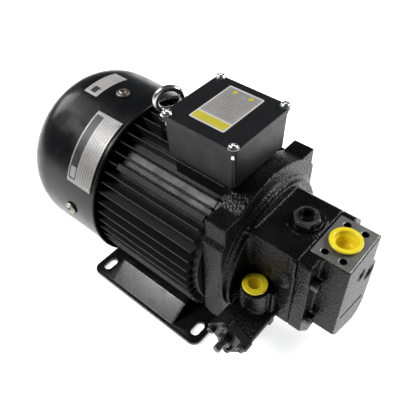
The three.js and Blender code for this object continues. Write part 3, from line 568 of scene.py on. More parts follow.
def dull_steel():
    """Phosphated plug and ring surfaces, dark grey, with brighter edges: partly wear, partly a painted
    highlight.
    """
    finish = steel("phosphated_steel", (0.075, 0.075, 0.078), (0.15, 0.15, 0.15), 0.36, 420, 0.04)
    base = finish.shader.inputs["Base Color"].links[0].from_socket
    # Edges painted light grey: partly wear, partly a painted highlight on the thread crests.
    finish.colour(finish.blend(finish.edges(0.52, 0.62), base, (0.42, 0.42, 0.41)))
    return finish.material


def plug_black():
    """Glossy black paint over a steel plug."""
    finish = enamel("gloss_black_plug", (0.003, 0.003, 0.0033), 0.18, 0.02, 0.5)
    finish.shader.inputs["Specular IOR Level"].default_value = 0.2
    return finish.material


def laminations():
    """Stacked electrical sheets, each half a millimetre thick."""
    finish = Finish("stacked_electrical_steel", metallic=0.9)
    sheets = finish.noise(2200, 1, (1.0, 0.002, 0.002))
    finish.colour(finish.blend(finish.spread(sheets, 0, 1), (0.16, 0.165, 0.175), (0.34, 0.345, 0.36)))
    finish.roughness(finish.spread(finish.noise(200, 4), 0.36, 0.6))
    finish.bump(sheets, 0.05)
    return finish.material


def copper_wire():
    """Varnished magnet wire, wound round the core."""
    finish = Finish("varnished_copper_wire", metallic=0.85)
    strands = finish.noise(1100, 2, (1.0, 0.12, 0.12))
    finish.colour(finish.blend(finish.spread(strands, 0, 1), (0.22, 0.07, 0.025), (0.62, 0.26, 0.11)))
    finish.roughness(finish.spread(finish.noise(120, 3), 0.25, 0.5))
    finish.shader.inputs["Coat Weight"].default_value = 0.5
    finish.bump(strands, 0.2)
    return finish.material


def bronze():
    return steel("bearing_bronze", (0.38, 0.25, 0.10), (0.60, 0.43, 0.20), 0.3, 900, 0.012).material


def rubber():
    finish = Finish("nitrile_rubber")
    bloom = finish.spread(finish.noise(90, 5), 0, 1)
    finish.colour(finish.blend(bloom, (0.010, 0.010, 0.010), (0.030, 0.030, 0.030)))
    finish.roughness(finish.spread(finish.noise(220, 3), 0.55, 0.85))
    finish.bump(finish.noise(800, 2), 0.05)
    return finish.material


def moulded(name, dark, light, rough):
    """Moulded plastic with a faint pearl of flow and a fine grain."""
    finish = Finish(name)
    finish.colour(finish.blend(finish.spread(finish.noise(55, 4), 0, 1), dark, light))
    finish.roughness(finish.spread(finish.noise(150, 4), rough - 0.06, rough + 0.1))
    finish.bump(finish.noise(650, 2), 0.025)
    return finish


def yellow_plastic():
    finish = moulded("yellow_plastic", (0.80, 0.62, 0.012), (0.90, 0.76, 0.03), 0.34)
    finish.shader.inputs["Subsurface Weight"].default_value = 0.15
    finish.shader.inputs["Subsurface Radius"].default_value = (0.004, 0.003, 0.001)
    return finish.material


def black_plastic():
    return moulded("black_moulded_plastic", (0.010, 0.010, 0.011), (0.026, 0.026, 0.028), 0.42).material


def ruled(name, ground, ink, rows, header, side, metallic=0.0, dark_block=(0, 0)):
    """A plate or label with faint ruled rows, a dark header along one edge and a pale margin.

    Across and up run from 0 to 1 on the piece's own flat map; the header lies along the top, and
    its low end carries a pale panel. The dark block is a plain patch (across, up) in size.
    """
    finish = Finish(name, metallic=metallic)
    flat = finish.nodes.new("ShaderNodeSeparateXYZ")
    finish.links.new(finish.place.outputs["UV"], flat.inputs[0])
    across, up = flat.outputs["X"], flat.outputs["Y"]

    def step(operation, first, second=None):
        node = finish.nodes.new("ShaderNodeMath")
        node.operation = operation
        for socket, value in zip(node.inputs, (first, second)):
            if isinstance(value, (int, float)):
                socket.default_value = value
            elif value is not None:
                finish.links.new(value, socket)
        return node.outputs[0]

    def box(left, right, low, high):
        """One inside a rectangle of the map, zero outside."""
        wide = step("MULTIPLY", step("GREATER_THAN", across, left), step("LESS_THAN", across, right))
        tall = step("MULTIPLY", step("GREATER_THAN", up, low), step("LESS_THAN", up, high))
        return step("MULTIPLY", wide, tall)

    margin = 0.05
    row = step("LESS_THAN", step("FRACT", step("MULTIPLY", up, rows)), 0.22)
    body = box(side, 1 - side, 0.08, 1 - header - 0.03)
    dashes = finish.spread(finish.noise(420, 1), 0.25, 0.75, 0.42, 0.5)
    lines = step("MULTIPLY", step("MULTIPLY", row, body), dashes)
    head = box(margin, 1 - margin, 1 - header, 1 - margin)
    printed = step("MAXIMUM", lines, step("MULTIPLY", head, 0.95))
    block_wide, block_tall = dark_block
    if block_wide:
        block = box(1 - side - block_wide, 1 - side, 0.3, 0.3 + block_tall)
        printed = step("MAXIMUM", printed, block)
    wear = finish.spread(finish.noise(90, 5), 0, 1)
    base = finish.blend(wear, tuple(c * 0.85 for c in ground), ground)
    inked = finish.blend(printed, base, ink)
    pale = step("MULTIPLY", box(0.78, 0.93, 1 - header + 0.04, 1 - margin - 0.04), 1.0 if metallic else 0.0)
    finish.colour(finish.blend(pale, inked, ground))
    finish.roughness(finish.spread(finish.noise(260, 3), 0.3, 0.48))
    finish.bump(finish.noise(700, 2), 0.01)
    return finish.material


def rating_plate_finish():
    return ruled("rating_plate_print", (0.34, 0.335, 0.32), (0.02, 0.02, 0.022), 11, 0.34, 0.06, 0.3)


def cover_label_finish():
    paper, ink = (0.42, 0.41, 0.40), (0.03, 0.03, 0.035)
    return ruled("cover_label_print", paper, ink, 6, 0.0, 0.08, 0.0, (0.2, 0.42))


def lid_label_finish():
    return ruled("lid_label_print", (0.30, 0.295, 0.285), (0.12, 0.12, 0.12), 12, 0.0, 0.1)


def label_border():
    return moulded("label_border_film", (0.52, 0.51, 0.49), (0.60, 0.59, 0.57), 0.35).material


def label_yellow():
    return moulded("label_yellow_film", (0.46, 0.40, 0.03), (0.55, 0.48, 0.06), 0.35).material


def dark_bore():
    """Inside of a drilled port: oily iron painted nearly black, a painted shade for the hollow."""
    return steel("oily_drilled_iron_painted_shade", (0.03, 0.028, 0.026), (0.07, 0.066, 0.06), 0.4, 300, 0.05).material


SATIN = satin_black()
GLOSS = gloss_black()
FOOT = foot_black()
CAST = cast_black()
GROUND_IRON = ground_iron()
BRIGHT = bright_steel()
NICKEL = worn_nickel()
GROUND_STEEL = ground_steel()
OXIDE = black_oxide()
DULL = dull_steel()
PLUG_BLACK = plug_black()
SHEETS = laminations()
WIRE = copper_wire()
BRONZE = bronze()
RUBBER = rubber()
YELLOW = yellow_plastic()
PLASTIC = black_plastic()
BORE = dark_bore()
ROUND_TREE = round_tree()
ALL_ROUND = {"first_angle": 0.0, "gap_middle": 0.0, "gap_half_width": -1.0}
CORNER_TREE = corner_tree()


def piece(name, mesh, finish, body="housing", stands_for=()):
    """Scales a finished mesh to metres, moves it onto the frame and ties it to its body."""
    mesh.name = name
    mesh.transform(Matrix.Translation(HOME) @ Matrix.Scale(MM, 4))
    mesh.materials.clear()
    mesh.materials.append(finish)
    made = bpy.data.objects.new(name, mesh)
    bpy.context.scene.collection.objects.link(made)
    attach(made, body)
    if stands_for:
        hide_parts(*stands_for)
    return made


# ---------------------------------------------------------------- motor
def cover_radius_at(x):
    """Outside radius of the fan cover at a place along the shaft."""
    into = COVER_BACK + SHOULDER_LONG - x
    if into <= 0:
        return COVER_RADIUS
    return COVER_RADIUS - SHOULDER_DEEP * (1 - math.sqrt(max(0, 1 - (into / SHOULDER_LONG) ** 2)))


def fan_cover():
    sheet = 2.0
    steps = 18
    quarter = [math.pi / 2 * i / steps for i in range(steps + 1)]
    shoulder = [COVER_BACK + SHOULDER_LONG * (1 - math.cos(a)) for a in quarter]
    outside = [(x, cover_radius_at(x)) for x in shoulder]
    inside = [
        (x + sheet * (1 - i / steps), cover_radius_at(x) - sheet * i / steps)
        for i, x in enumerate(shoulder)
    ]
    roll, sink = 1.5, 0.4
    bead = [
        (COVER_LIP - roll - roll * math.cos(a), COVER_RADIUS - sink + roll * math.sin(a))
        for a in [math.pi * i / 8 for i in range(9)]
    ]
    pressed_in = COVER_BACK + 0.9
    pressed_ring = [(COVER_BACK, 0), (COVER_BACK, 17), (pressed_in, 18), (pressed_in, 20), (COVER_BACK, 21)]
    rim = (COVER_LIP, COVER_RADIUS - sheet)
    shell = turned([*pressed_ring, *outside, *bead, rim, *reversed(inside), (COVER_BACK + sheet, 0)], ROUND)
    one_slot = prism(rounded_rectangle(5, 30, 2.45, 5), COVER_BACK - 1, COVER_BACK + sheet + 1)
    moved(one_slot, (0, 0, 37))
    slots = repeated(one_slot, ROUND_TREE, count=12, finish=GLOSS, **ALL_ROUND)
    shell = softened(carved(shell, slots), 0.35, 2, 40)
    piece("fan_cover_shell", shell, GLOSS, stands_for=["fan_cover"])


def cover_screws():
    """Flat steel washers with a socket screw in the middle, each on a dark rubber ring."""
    top = 4.1
    dome = [(1.6, 6.9), (2.2, 6.7), (2.7, 5.9), (2.9, 4.4), (3.1, 3.9), (top - 0.4, 3.7), (top, 3.2)]
    head = turned([(-4, 0), (-4, 2.4), (1.0, 2.4), (1.0, 6.9), *dome, (top, 0)], 48, "Z")
    head = softened(carved(head, prism(hexagon(4.0), 1.6, top + 1, "Z")), 0.12, 2, 30)
    section = [(0.25, 2.5), (0.25, 7.6), (0.9, 7.6), (1.3, 7.3), (1.3, 2.5), (0.25, 2.5)]
    rubber_ring = softened(turned(section, 48, "Z"), 0.15, 2, 30)
    for part in (head, rubber_ring):
        moved(part, (COVER_SCREW_X, 0, COVER_RADIUS))
    heads = repeated(head, ROUND_TREE, count=4, finish=NICKEL, **ALL_ROUND)
    screws = [f"cover_screw_{i}" for i in range(1, 5)]
    piece("cover_screw_heads", heads, NICKEL, stands_for=screws)
    rings = repeated(rubber_ring, ROUND_TREE, count=4, finish=RUBBER, **ALL_ROUND)
    piece("cover_screw_rubbers", rings, RUBBER)


def bent_sheet(x_from, x_to, angle_from, angle_to, radius_at, thick, columns=18, rows=24):
    """A thin sheet lying on a round surface, with a flat map: X runs across it, Y round it."""
    shape = bmesh.new()
    flat_map = shape.loops.layers.uv.new("flat")
    grids = []
    for lift in (0, thick):
        grid = []
        for i in range(columns + 1):
            x = x_from + (x_to - x_from) * i / columns
            line = []
            for j in range(rows + 1):
                angle = math.radians(angle_from + (angle_to - angle_from) * j / rows)
                radius = radius_at(x) + lift
                line.append(shape.verts.new((x, radius * math.cos(angle), radius * math.sin(angle))))
            grid.append(line)
        grids.append(grid)

    def skin(grid):
        for i in range(columns):
            for j in range(rows):
                face = shape.faces.new((grid[i][j], grid[i + 1][j], grid[i + 1][j + 1], grid[i][j + 1]))
                corners = ((i, j), (i + 1, j), (i + 1, j + 1), (i, j + 1))
                for loop, (a, b) in zip(face.loops, corners):
                    loop[flat_map].uv = (b / rows, 1 - a / columns)

    def rim(low, high):
        for (a, b), (c, d) in zip(zip(low, high), zip(low[1:], high[1:])):
            shape.faces.new((a, c, d, b))

    skin(grids[0])
    skin(grids[1])
    bottom, top = grids
    rim(bottom[0], top[0])
    rim(bottom[-1], top[-1])
    rim([line[0] for line in bottom], [line[0] for line in top])
    rim([line[-1] for line in bottom], [line[-1] for line in top])
    bmesh.ops.recalc_face_normals(shape, faces=shape.faces)
    mesh = bpy.data.meshes.new("shape")
    shape.to_mesh(mesh)
    shape.free()
    return smoothed(mesh)


def rating_plate():
    plate = bent_sheet(COVER_SCREW_X - 3, COVER_LIP - 6.2, 109.5, 158, cover_radius_at, 1.1)
    print_finish = rating_plate_finish()
    piece("rating_plate_sheet", plate, print_finish, stands_for=["rating_plate"])
    rivet = disc(1.3, 0.6, 1.9, 20, "Z")
    rivets = []
    for angle in (112, 155.5):
        for x in (COVER_SCREW_X - 0.8, COVER_LIP - 8.4):
            copy = softened(rivet.copy(), 0.4, 3)
            moved(copy, (0, 0, COVER_RADIUS))
            rivets.append(moved(copy, (x, 0, 0), (angle - 90, 0, 0)))
    piece("rating_plate_rivets", joined(*rivets), BRIGHT)


def cover_label():
    label = bent_sheet(-133.5, -114.5, 75, 102, lambda x: cover_radius_at(x) + 0.05, 0.25)
    piece("cover_label", label, cover_label_finish())


def one_fin():
    """A fin of the frame in section: sloping sides and a rounded tip, pointing along Y."""
    root, radius = 1.5, 0.7
    crest = [
        (FIN_TIP - radius + radius * math.sin(a), -radius * math.cos(a))
        for a in [math.pi * i / 8 for i in range(9)]
    ]
    outline = [(FIN_ROOT - 1.5, -root), *crest, (FIN_ROOT - 1.5, root)]
    return softened(prism(outline, FRAME_BACK, FIN_FRONT), 0.45, 2, 45)


def motor_frame():
    fins = repeated(
        one_fin(), ROUND_TREE, count=FIN_COUNT, first_angle=math.radians(180 / FIN_COUNT),
        gap_middle=math.radians(270), gap_half_width=math.radians(35), finish=SATIN,
    )
    collar = FIN_ROOT + 5
    barrel = turned([
        (FRAME_BACK, FRAME_BORE), (FRAME_BACK, FIN_ROOT), (FIN_FRONT - 4, FIN_ROOT), (FIN_FRONT - 1, collar),
        (FRAME_FRONT, collar), (FRAME_FRONT, FRAME_BORE), (FRAME_BACK, FRAME_BORE),
    ], ROUND)
    pad = brick((10, -33, 63), (FRAME_FRONT, 33, BOX_BOTTOM - 0.3))
    pad = carved(pad, moved(disc(11, 60, 100, FINE, "Z"), (BOX_X, 0, 0)))
    boss = moved(tube(4.5, 12, 69, EYE_SEAT - 0.3, FINE, "Z"), (EYE_X, 0, 0))
    strip = moved(brick((-42, FIN_ROOT - 3, -3.4), (FIN_FRONT, FIN_TIP + 0.4, 3.4)), turn=(133, 0, 0))
    rails = [
        brick((-40, side * 26 - 6, GROUND + 22.3), (34, side * 26 + 6, -FRAME_BORE - 1)) for side in (-1, 1)
    ]
    solids = joined(barrel, pad, boss, strip, *rails)
    body = joined(fins, softened(solids, 0.9, 3))
    piece("motor_frame_casting", body, SATIN, stands_for=["motor_frame"])


def foot_plate():
    """Pressed foot: a sheet with four slots, and a panel bent up to the motor in the middle."""
    long, wide, sheet = 164.0, 197.0, 4.0
    back, front, lip = -52.0, 45.0, 94.0
    base = prism(rounded_rectangle(long, wide, 10, 8), 0, sheet, "Z")
    cutters = [brick((back, -lip, -1), (front, lip, sheet + 1))]
    for end in (-70, 70):
        for side in (-80, 80):
            slot = prism(rounded_rectangle(10, 18, 4.98, 8), -1, sheet + 1, "Z")
            cutters.append(moved(slot, (end, side, 0)))
    base = softened(carved(base, *cutters), 0.8, 3, 40)
    outer = [(lip + 0.5, 0), (lip + 0.5, sheet), (lip, sheet), (72, 18), (50, 22)]
    inner = [(47, 18), (70.5, 14), (lip - 4, 0)]
    half = outer + [(-y, z) for y, z in reversed(outer)]
    underside = [(-y, z) for y, z in reversed(inner)] + inner
    panel = prism(half + underside, back - 0.5, front + 0.5)
    webs = [prism(half, x, x + 3) for x in (back - 0.5, front - 2.5)]
    bent = softened(joined(panel, *webs), 1.3, 3, 12)
    whole = moved(joined(base, bent), (0, 0, GROUND))
    piece("foot_pressing", whole, FOOT, stands_for=["foot_plate"])


def lifting_eye():
    """Eye bolt: a forged ring that swells into its collar."""
    ring_radius, bar = 13.1, 3.15

    def build(shape):
        around, section = 72, 20
        rings = []
        for i in range(around):
            angle = 2 * math.pi * i / around
            swell = bar * (1 + 0.32 * max(0, -math.sin(angle)) ** 3)
            ring = []
            for j in range(section):
                turn = 2 * math.pi * j / section
                reach = ring_radius + swell * math.cos(turn) - (swell - bar)
                point = (reach * math.cos(angle), swell * math.sin(turn), reach * math.sin(angle))
                ring.append(shape.verts.new(point))
            rings.append(ring)
        for ring, following in zip(rings, rings[1:] + rings[:1]):
            join_rings(shape, ring, following)
    loop = smoothed(mesh_from(build))
    drop = 17.3
    collar_steps = [(0, 0), (0, 10), (2.2, 10), (3.4, 8), (4.6, 5.4), (6, 4.2), (6, 0)]
    collar = turned([(-drop + up, radius) for up, radius in collar_steps], FINE, "Z")
    shank = disc(4, -drop - 12, -drop + 1, 32, "Z")
    eye = joined(loop, softened(collar, 0.4, 2), shank)
    moved(eye, (EYE_X, 0, EYE_SEAT + drop), (0, 0, EYE_TURN))
    piece("lifting_eye_bolt", eye, BRIGHT, stands_for=["lifting_eye"])


def box_outline(shrink, corner=4.0):
    return rounded_rectangle(LID_LONG - 1.2 - 2 * shrink, LID_WIDE - 1.2 - 2 * shrink, corner)


def terminal_box():
    rim = BOX_TOP - 3.3
    outside = lofted([
        (BOX_BOTTOM, box_outline(2.6, 3)),
        (BOX_BOTTOM + 0.4, box_outline(1.9, 3.6)),
        (BOX_BOTTOM + 1.2, box_outline(1.6)),
        (rim - 3.5, box_outline(0.75)),
        (rim - 2.9, box_outline(0.1)),
        (rim - 0.3, box_outline(0.0)),
        (rim, box_outline(0.3)),
    ])
    room = lofted([(BOX_BOTTOM + 3, box_outline(5.6, 2)), (rim + 1, box_outline(4, 2))])
    entry = moved(disc(10, LID_WIDE / 2 - 8, LID_WIDE / 2 + 3, FINE, "Y"), (0, 0, BOX_BOTTOM + 20))
    wire_hole = disc(10, BOX_BOTTOM - 1, BOX_BOTTOM + 5, FINE, "Z")
    shell = softened(carved(outside, room, entry, wire_hole), 0.4, 2, 50)
    boss = moved(tube(10, 14, LID_WIDE / 2 - 2.2, LID_WIDE / 2 - 0.4, FINE, "Y"), (0, 0, BOX_BOTTOM + 20))
    box = moved(joined(shell, softened(boss, 0.4)), (BOX_X, 0, 0))
    piece("terminal_box_casting", box, SATIN, stands_for=["terminal_box"])


def terminal_box_lid():
    flat = rounded_rectangle(LID_LONG, LID_WIDE, 4)
    inset = rounded_rectangle(LID_LONG - 1.6, LID_WIDE - 1.6, 3.4)
    edge = rounded_rectangle(LID_LONG - 0.4, LID_WIDE - 0.4, 3.9)
    lid = lofted([
        (BOX_TOP - 3, edge), (BOX_TOP - 2.8, flat), (BOX_TOP - 0.9, flat),
        (BOX_TOP - 0.3, edge), (BOX_TOP, inset),
    ])
    gasket = lofted([(BOX_TOP - 3.28, box_outline(0.5)), (BOX_TOP - 2.95, box_outline(0.5))])
    lid = softened(moved(lid, (BOX_X, 0, 0)), 0.15, 1, 60)
    piece("terminal_box_lid_plate", lid, SATIN, stands_for=["terminal_box_lid"])
    piece("terminal_box_gasket", smoothed(moved(gasket, (BOX_X, 0, 0))), RUBBER)


def lid_label():
    """Printed label: a pale border, a grey panel, a yellow band and two plain yellow marks."""
    long, wide, centre = 38.7, 58.2, (43.5, 2.3)
    top = BOX_TOP

    def film(size_x, size_y, x, y, low, high, corner=0.8):
        sheet = prism(rounded_rectangle(size_x, size_y, corner, 4), top + low, top + high, "Z")
        flat_map = sheet.uv_layers.new(name="flat")
        for polygon in sheet.polygons:
            for loop in polygon.loop_indices:
                spot = sheet.vertices[sheet.loops[loop].vertex_index].co
                flat_map.data[loop].uv = (spot.x / size_x + 0.5, spot.y / size_y + 0.5)
        return moved(sheet, (centre[0] + x, centre[1] + y, 0))

    border = smoothed(film(long, wide, 0, 0, 0.02, 0.22, 1.5))
    piece("lid_label_border", border, label_border())
    panel = smoothed(film(long - 3, wide - 15, 0, 5.7, 0.2, 0.3))
    piece("lid_label_panel", panel, lid_label_finish())
    band = film(long - 3, 9.5, 0, -wide / 2 + 6.6, 0.2, 0.3)
    marks = [film(5, 5, x, 22.5, 0.28, 0.36, 2.4) for x in (-9, 9)]
    piece("lid_label_yellow", smoothed(joined(band, *marks)), label_yellow())


def pan_screw(radius, height, shank, depth):
    """A pan head screw along Z from its seat, with a cross recess."""
    crown = [
        (max(0.5, height * math.sin(a)), radius - (1 - math.cos(a)) * radius * 0.62)
        for a in (0, 0.4, 0.8, 1.15, 1.45)
    ]
    below = [(-depth, 0), (-depth, shank), (0.25, shank), (0.25, radius)]
    head = turned([*below, *crown, (height, 0)], 40, "Z")
    arm, half = radius * 0.6, radius * 0.11
    cross = joined(
        brick((-arm, -half, height - 1.1), (arm, half, height + 1)),
        brick((-half, -arm, height - 1.1), (half, arm, height + 1)),
    )
    return softened(carved(head, cross), 0.12, 2, 50)


def lid_screws():
    screws = repeated(
        pan_screw(4.9, 3.2, 2.4, 11), CORNER_TREE, pitch_x=72.8, pitch_y=72.8,
        centre=(BOX_X, 0, BOX_TOP), turn=(0, 0, 0), finish=BRIGHT,
    )
    names = [f"lid_screw_{i}" for i in range(1, 5)]
    piece("lid_pan_screws", screws, BRIGHT, stands_for=names)


# ---------------------------------------------------------------- pump
def hexagon(across, turn=0.0):
    radius = across / math.sqrt(3)
    angles = [math.radians(60 * i + turn) for i in range(6)]
    return [(radius * math.cos(a), radius * math.sin(a)) for a in angles]


def pump_casting():
    """Motor flange, stepped bell and rough case in one casting."""
    facets = [
        prism([(side * 40, 76.7), (side * 40, 70), (side * 31, 81), (side * 33, 84.8)], 77, 98.5)
        for side in (-1, 1)
    ]
    rim = turned([(77, 70), (77, 90.6), (98.4, 90.6), (98.4, 70), (77, 70)], ROUND)
    between = brick((70, -73.6, -95), (100, 73.6, 95))
    rim = kept_inside(rim, between)
    rings = [tube(60, 76, 97, 102, ROUND), tube(60, 72, 100, 106.6, ROUND)]
    spotface = moved(tube(9.6, 18, 54, CASE_TOP + 1.2, FINE, "Z"), (FILLER.x, FILLER.y, 0))
    lugs = [brick((150, -46.5, 38), (157, -36, 58.5)), brick((150, 37, 20), (157, 46, 40))]
    pad = moved(disc(9, -46.6, -42, 40, "Y"), (141, 0, 22))
    whole = cast_over([copy_of("pump_body"), *facets, rim, *rings, spotface, *lugs, pad], 1.3, 2)
    piece("pump_body_casting", whole, CAST, stands_for=["pump_body"])


def end_casting():
    """End cover with its ground inlet pad; the edges are cast round, the machined faces crisp."""
    lugs = [
        brick((CAP_BACK + 1.3, -46.5, 36), (CAP_BACK + 13.3, -37, 59)),
        brick((CAP_BACK + 1.3, 37, 20), (CAP_BACK + 13.3, 46, 40)),
    ]
    groove = prism([(26, -30), (-21, -14.5), (-21, -18), (26, -34)], CAP_FRONT - 1.4, CAP_FRONT + 1.7)
    whole = carved(cast_over([copy_of("end_cover"), *lugs], 1.1, 2), groove)
    piece("end_cover_casting", whole, CAST, stands_for=["end_cover"])


def inlet_pad():
    """The ground face round the inlet, with its bore and four tapped holes."""
    x0, x1, y0, y1 = CAP_BACK + 0.9, CAP_FRONT - 0.9, -28.2, 24.4
    plate = brick((x0, y0, CASE_TOP - 1.2), (x1, y1, CASE_TOP + 0.12))
    bore = moved(disc(10.8, CASE_TOP - 4, CASE_TOP + 3, FINE, "Z"), INLET.xy.to_3d())
    taps = repeated(
        disc(3.45, -4, 4, 32, "Z"), CORNER_TREE, pitch_x=17.5, pitch_y=38.1,
        centre=tuple(INLET), turn=(0, 0, 0), finish=GROUND_IRON,
    )
    plate = carved(plate, bore, taps)
    piece("inlet_pad_face", softened(plate, 0.5, 2, 40), GROUND_IRON)
    wall = turned([(-13.6, 0), (-13.6, 3.4), (0.05, 3.4), (0.05, 3.0), (-13.2, 3.0), (-13.2, 0)], 32, "Z")
    # The thread liners use the dark bore finish: painted shade inside the tapped holes.
    liners = repeated(
        smoothed(wall), CORNER_TREE, pitch_x=17.5, pitch_y=38.1,
        centre=tuple(INLET), turn=(0, 0, 0), finish=BORE,
    )
    piece("inlet_pad_threads", liners, BORE)


def end_ports():
    """Machined rims of the two ports on the end face."""
    for name, y, z, radius, deep in (("end_port_rim", 24, 8, 8.5, 9), ("gauge_port_rim", 3, 25, 6.5, 7)):
        outer, inner = radius - 0.1, radius - 1.1
        floor_low, floor_high = -deep + 0.2, -deep + 0.8
        rim = turned([
            (floor_low, 0), (floor_low, outer), (-1.4, outer), (0.05, radius + 0.9), (0.05, radius + 0.2),
            (-1.6, inner), (floor_high, inner), (floor_high, 0),
        ], FINE)
        # The port rims and floors use the dark bore finish: painted shade inside the ports.
        piece(name, smoothed(moved(rim, (CAP_FRONT, y, z)), 30), BORE)


def cover_bolts():
    """Socket cap screws on the step of the end cover."""
    step = CAP_BACK + 13.7
    head = turned([(0, 0), (0, 6.0), (6.4, 6.0), (7.2, 5.3), (7.2, 0)], 48)
    head = softened(carved(head, prism(hexagon(6), 3.2, 9)), 0.3, 2, 30)
    places = ((-36.6, 33), (-36.6, -22), (36.0, 36))
    heads = [moved(head.copy(), (step, y, z)) for y, z in places]
    piece("end_cover_cap_screws", joined(*heads), OXIDE)


def yellow_plug(name, body, node, at, rim, skirt, stem, depth, mouth, socket):
    """A transport plug: round flange with a pale skirt, a deep socket and a threaded stem."""
    outside = [
        (-depth, 0), (-depth, stem - 1), (-depth + 1.5, stem), (0.3, stem), (0.3, skirt), (1.4, skirt + 0.2),
        (1.9, rim - 0.5), (2.5, rim), (3.7, rim), (4.3, rim - 0.7),
    ]
    inside = [
        (4.35, mouth + 0.8), (3.7, mouth), (1.2, mouth - 0.3), (-0.6, socket),
        (-depth + 4.5, socket - 0.5), (-depth + 4, socket - 1.2), (-depth + 4, 0),
    ]
    plug = turned(outside + inside, FINE, "Z")
    plug = softened(plug, 0.2, 2, 35)
    piece(name, moved(plug, tuple(at)), YELLOW, body, [node])


def yellow_plugs():
    yellow_plug("inlet_transport_plug", "inlet_cap", "inlet_plug", INLET, 14.9, 12.6, 10.1, 12, 10.4, 8.6)
    yellow_plug("outlet_transport_plug", "outlet_cap", "outlet_plug", OUTLET, 12, 9, 6.5, 11, 6.0, 4.6)


def filler_plug():
    """Socket plug with a hexagon and a round top, on a washer inside the raised ring."""
    section = [(0.9, 8.9), (0.9, 14.6), (1.5, 15), (2.7, 15), (3.2, 14.4), (3.2, 8.9), (0.9, 8.9)]
    washer = turned(section, FINE, "Z")
    chamfer = turned([(3, 0), (3, 13), (6.4, 13), (7.61, 11.2), (7.61, 0)], FINE, "Z")
    hexagonal = kept_inside(prism(hexagon(22.4, 12), 3.0, 7.6, "Z"), chamfer)
    steps = [(-14, 0), (-14, 8.9), (3.2, 8.9), (3.2, 7.6), (9.8, 7.6), (10.5, 6.9), (10.5, 0)]
    stem = turned(steps, FINE, "Z")
    socket = prism(hexagon(8.2), 3.6, 12, "Z")
    parts = [softened(part, 0.3, 2, 30) for part in (washer, carved(hexagonal, disc(5, 2, 9, FINE, "Z")))]
    plug = moved(joined(*parts, softened(carved(stem, socket), 0.3, 2, 30)), tuple(FILLER))
    piece("filler_socket_plug", plug, PLUG_BLACK, stands_for=["filler_plug"])


def compensator_casting():
    boss_ring = moved(tube(7.2, 14, -20, 8.4, FINE, "Z"), (OUTLET.x, OUTLET.y, 0))
    spool_bore = disc(4.6, VALVE_FACE + 12.6, VALVE_FACE + 31.6, FINE, "Y")
    spring_room = disc(7.4, VALVE_FACE - 2, VALVE_FACE + 14.2, FINE, "Y")
    bores = [moved(bore, (VALVE_X, 0, VALVE_Z)) for bore in (spool_bore, spring_room)]
    whole = carved(cast_over([copy_of("compensator_body"), boss_ring], 0.9, 2), *bores)
    piece("compensator_casting", whole, CAST, stands_for=["compensator_body"])


def compensator_cap():
    """Square end plate, turned on its corner, with four socket screws."""
    top = VALVE_FACE - 0.3
    plate = prism(rounded_rectangle(36, 36, 6), top - 9, top, "Y")
    bore = disc(4.3, top - 20, top + 1, FINE, "Y")
    recess = disc(7.2, top - 5.2, top + 1, FINE, "Y")
    plate = softened(carved(plate, bore, recess), 1.0, 3, 40)
    moved(plate, (VALVE_X, 0, VALVE_Z), (0, VALVE_TURN, 0))
    piece("compensator_end_plate", plate, SATIN, stands_for=["compensator_cap"])
    head = turned([(0, 0), (0, 3.9), (3.6, 3.9), (4.2, 3.4), (4.2, 0)], 40, "Z")
    head = softened(carved(head, prism(hexagon(3.6), 1.6, 5, "Z")), 0.2, 2, 40)
    upright = Matrix.Rotation(math.radians(90), 4, "X")
    facing_out = Matrix.Rotation(math.radians(VALVE_TURN), 4, "Y") @ upright
    heads = repeated(
        head, CORNER_TREE, pitch_x=24.5, pitch_y=24.5, centre=(VALVE_X, top - 9, VALVE_Z),
        turn=tuple(facing_out.to_euler()), finish=OXIDE,
    )
    piece("end_plate_socket_screws", heads, OXIDE)


def pressure_adjuster():
    """Threaded pressure screw with a screwdriver slot, and its chamfered lock nut."""
    pitch, outside, root = 1.0, 3.8, 3.25
    start, end = SCREW_END + 0.8, VALVE_FACE - 3.8
    profile = [(SCREW_END, 0), (SCREW_END, 3.0)]
    turns = int((end - start) / pitch)
    for i in range(turns):
        thread = start + i * pitch
        profile += [(thread + 0.25, outside), (thread + 0.45, outside), (thread + 0.95, root)]
    profile += [(end, root), (end, 0)]
    screw = turned(profile, 40, "Y")
    slot = brick((-5, SCREW_END - 1, -0.6), (5, SCREW_END + 2, 0.6))
    screw = smoothed(carved(screw, slot), 30)
    moved(screw, (VALVE_X, 0, VALVE_Z))
    piece("pressure_adjusting_screw", screw, DULL, "adjuster", ["pressure_screw"])
    nut = prism(hexagon(13), -6, 0, "Y")
    cone = turned([(-6.01, 0), (-6.01, 6.2), (-5.0, 7.6), (0.01, 7.6), (0.01, 0)], FINE, "Y")
    nut = kept_inside(nut, cone)
    nut = softened(carved(nut, disc(4.2, -8, 2, 40, "Y")), 0.25, 2, 30)
    moved(nut, (VALVE_X, VALVE_FACE - 9.6, VALVE_Z))
    piece("pressure_lock_nut", nut, OXIDE, stands_for=["lock_nut"])


# ---------------------------------------------------------------- pieces kept from the frame
def paint_kept_nodes():
    """Inner pieces keep their shape and get their finish."""
    kept = {
        SATIN: ["rear_end_shield"],
        GROUND_STEEL: [
            "drive_shaft", "rear_bearing_outer", "rear_bearing_inner",
            "front_bearing_outer", "front_bearing_inner", "retainer_plate",
            "control_piston", "bias_spring", "compensator_spool", "adjusting_spring",
            *[f"piston_{i}" for i in range(1, 8)],
        ],
        OXIDE: ["swash_plate", "cylinder_block", "spring_seat"],
        SHEETS: ["stator_core", "rotor_core"],
        WIRE: ["stator_winding"],
        BRONZE: ["valve_plate", *[f"piston_shoe_{i}" for i in range(1, 8)]],
        RUBBER: ["shaft_seal"],
        PLASTIC: ["cooling_fan", "terminal_block"],
    }
    for finish, names in kept.items():
        for name in names:
            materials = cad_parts[name].data.materials
            materials.clear()
            materials.append(finish)


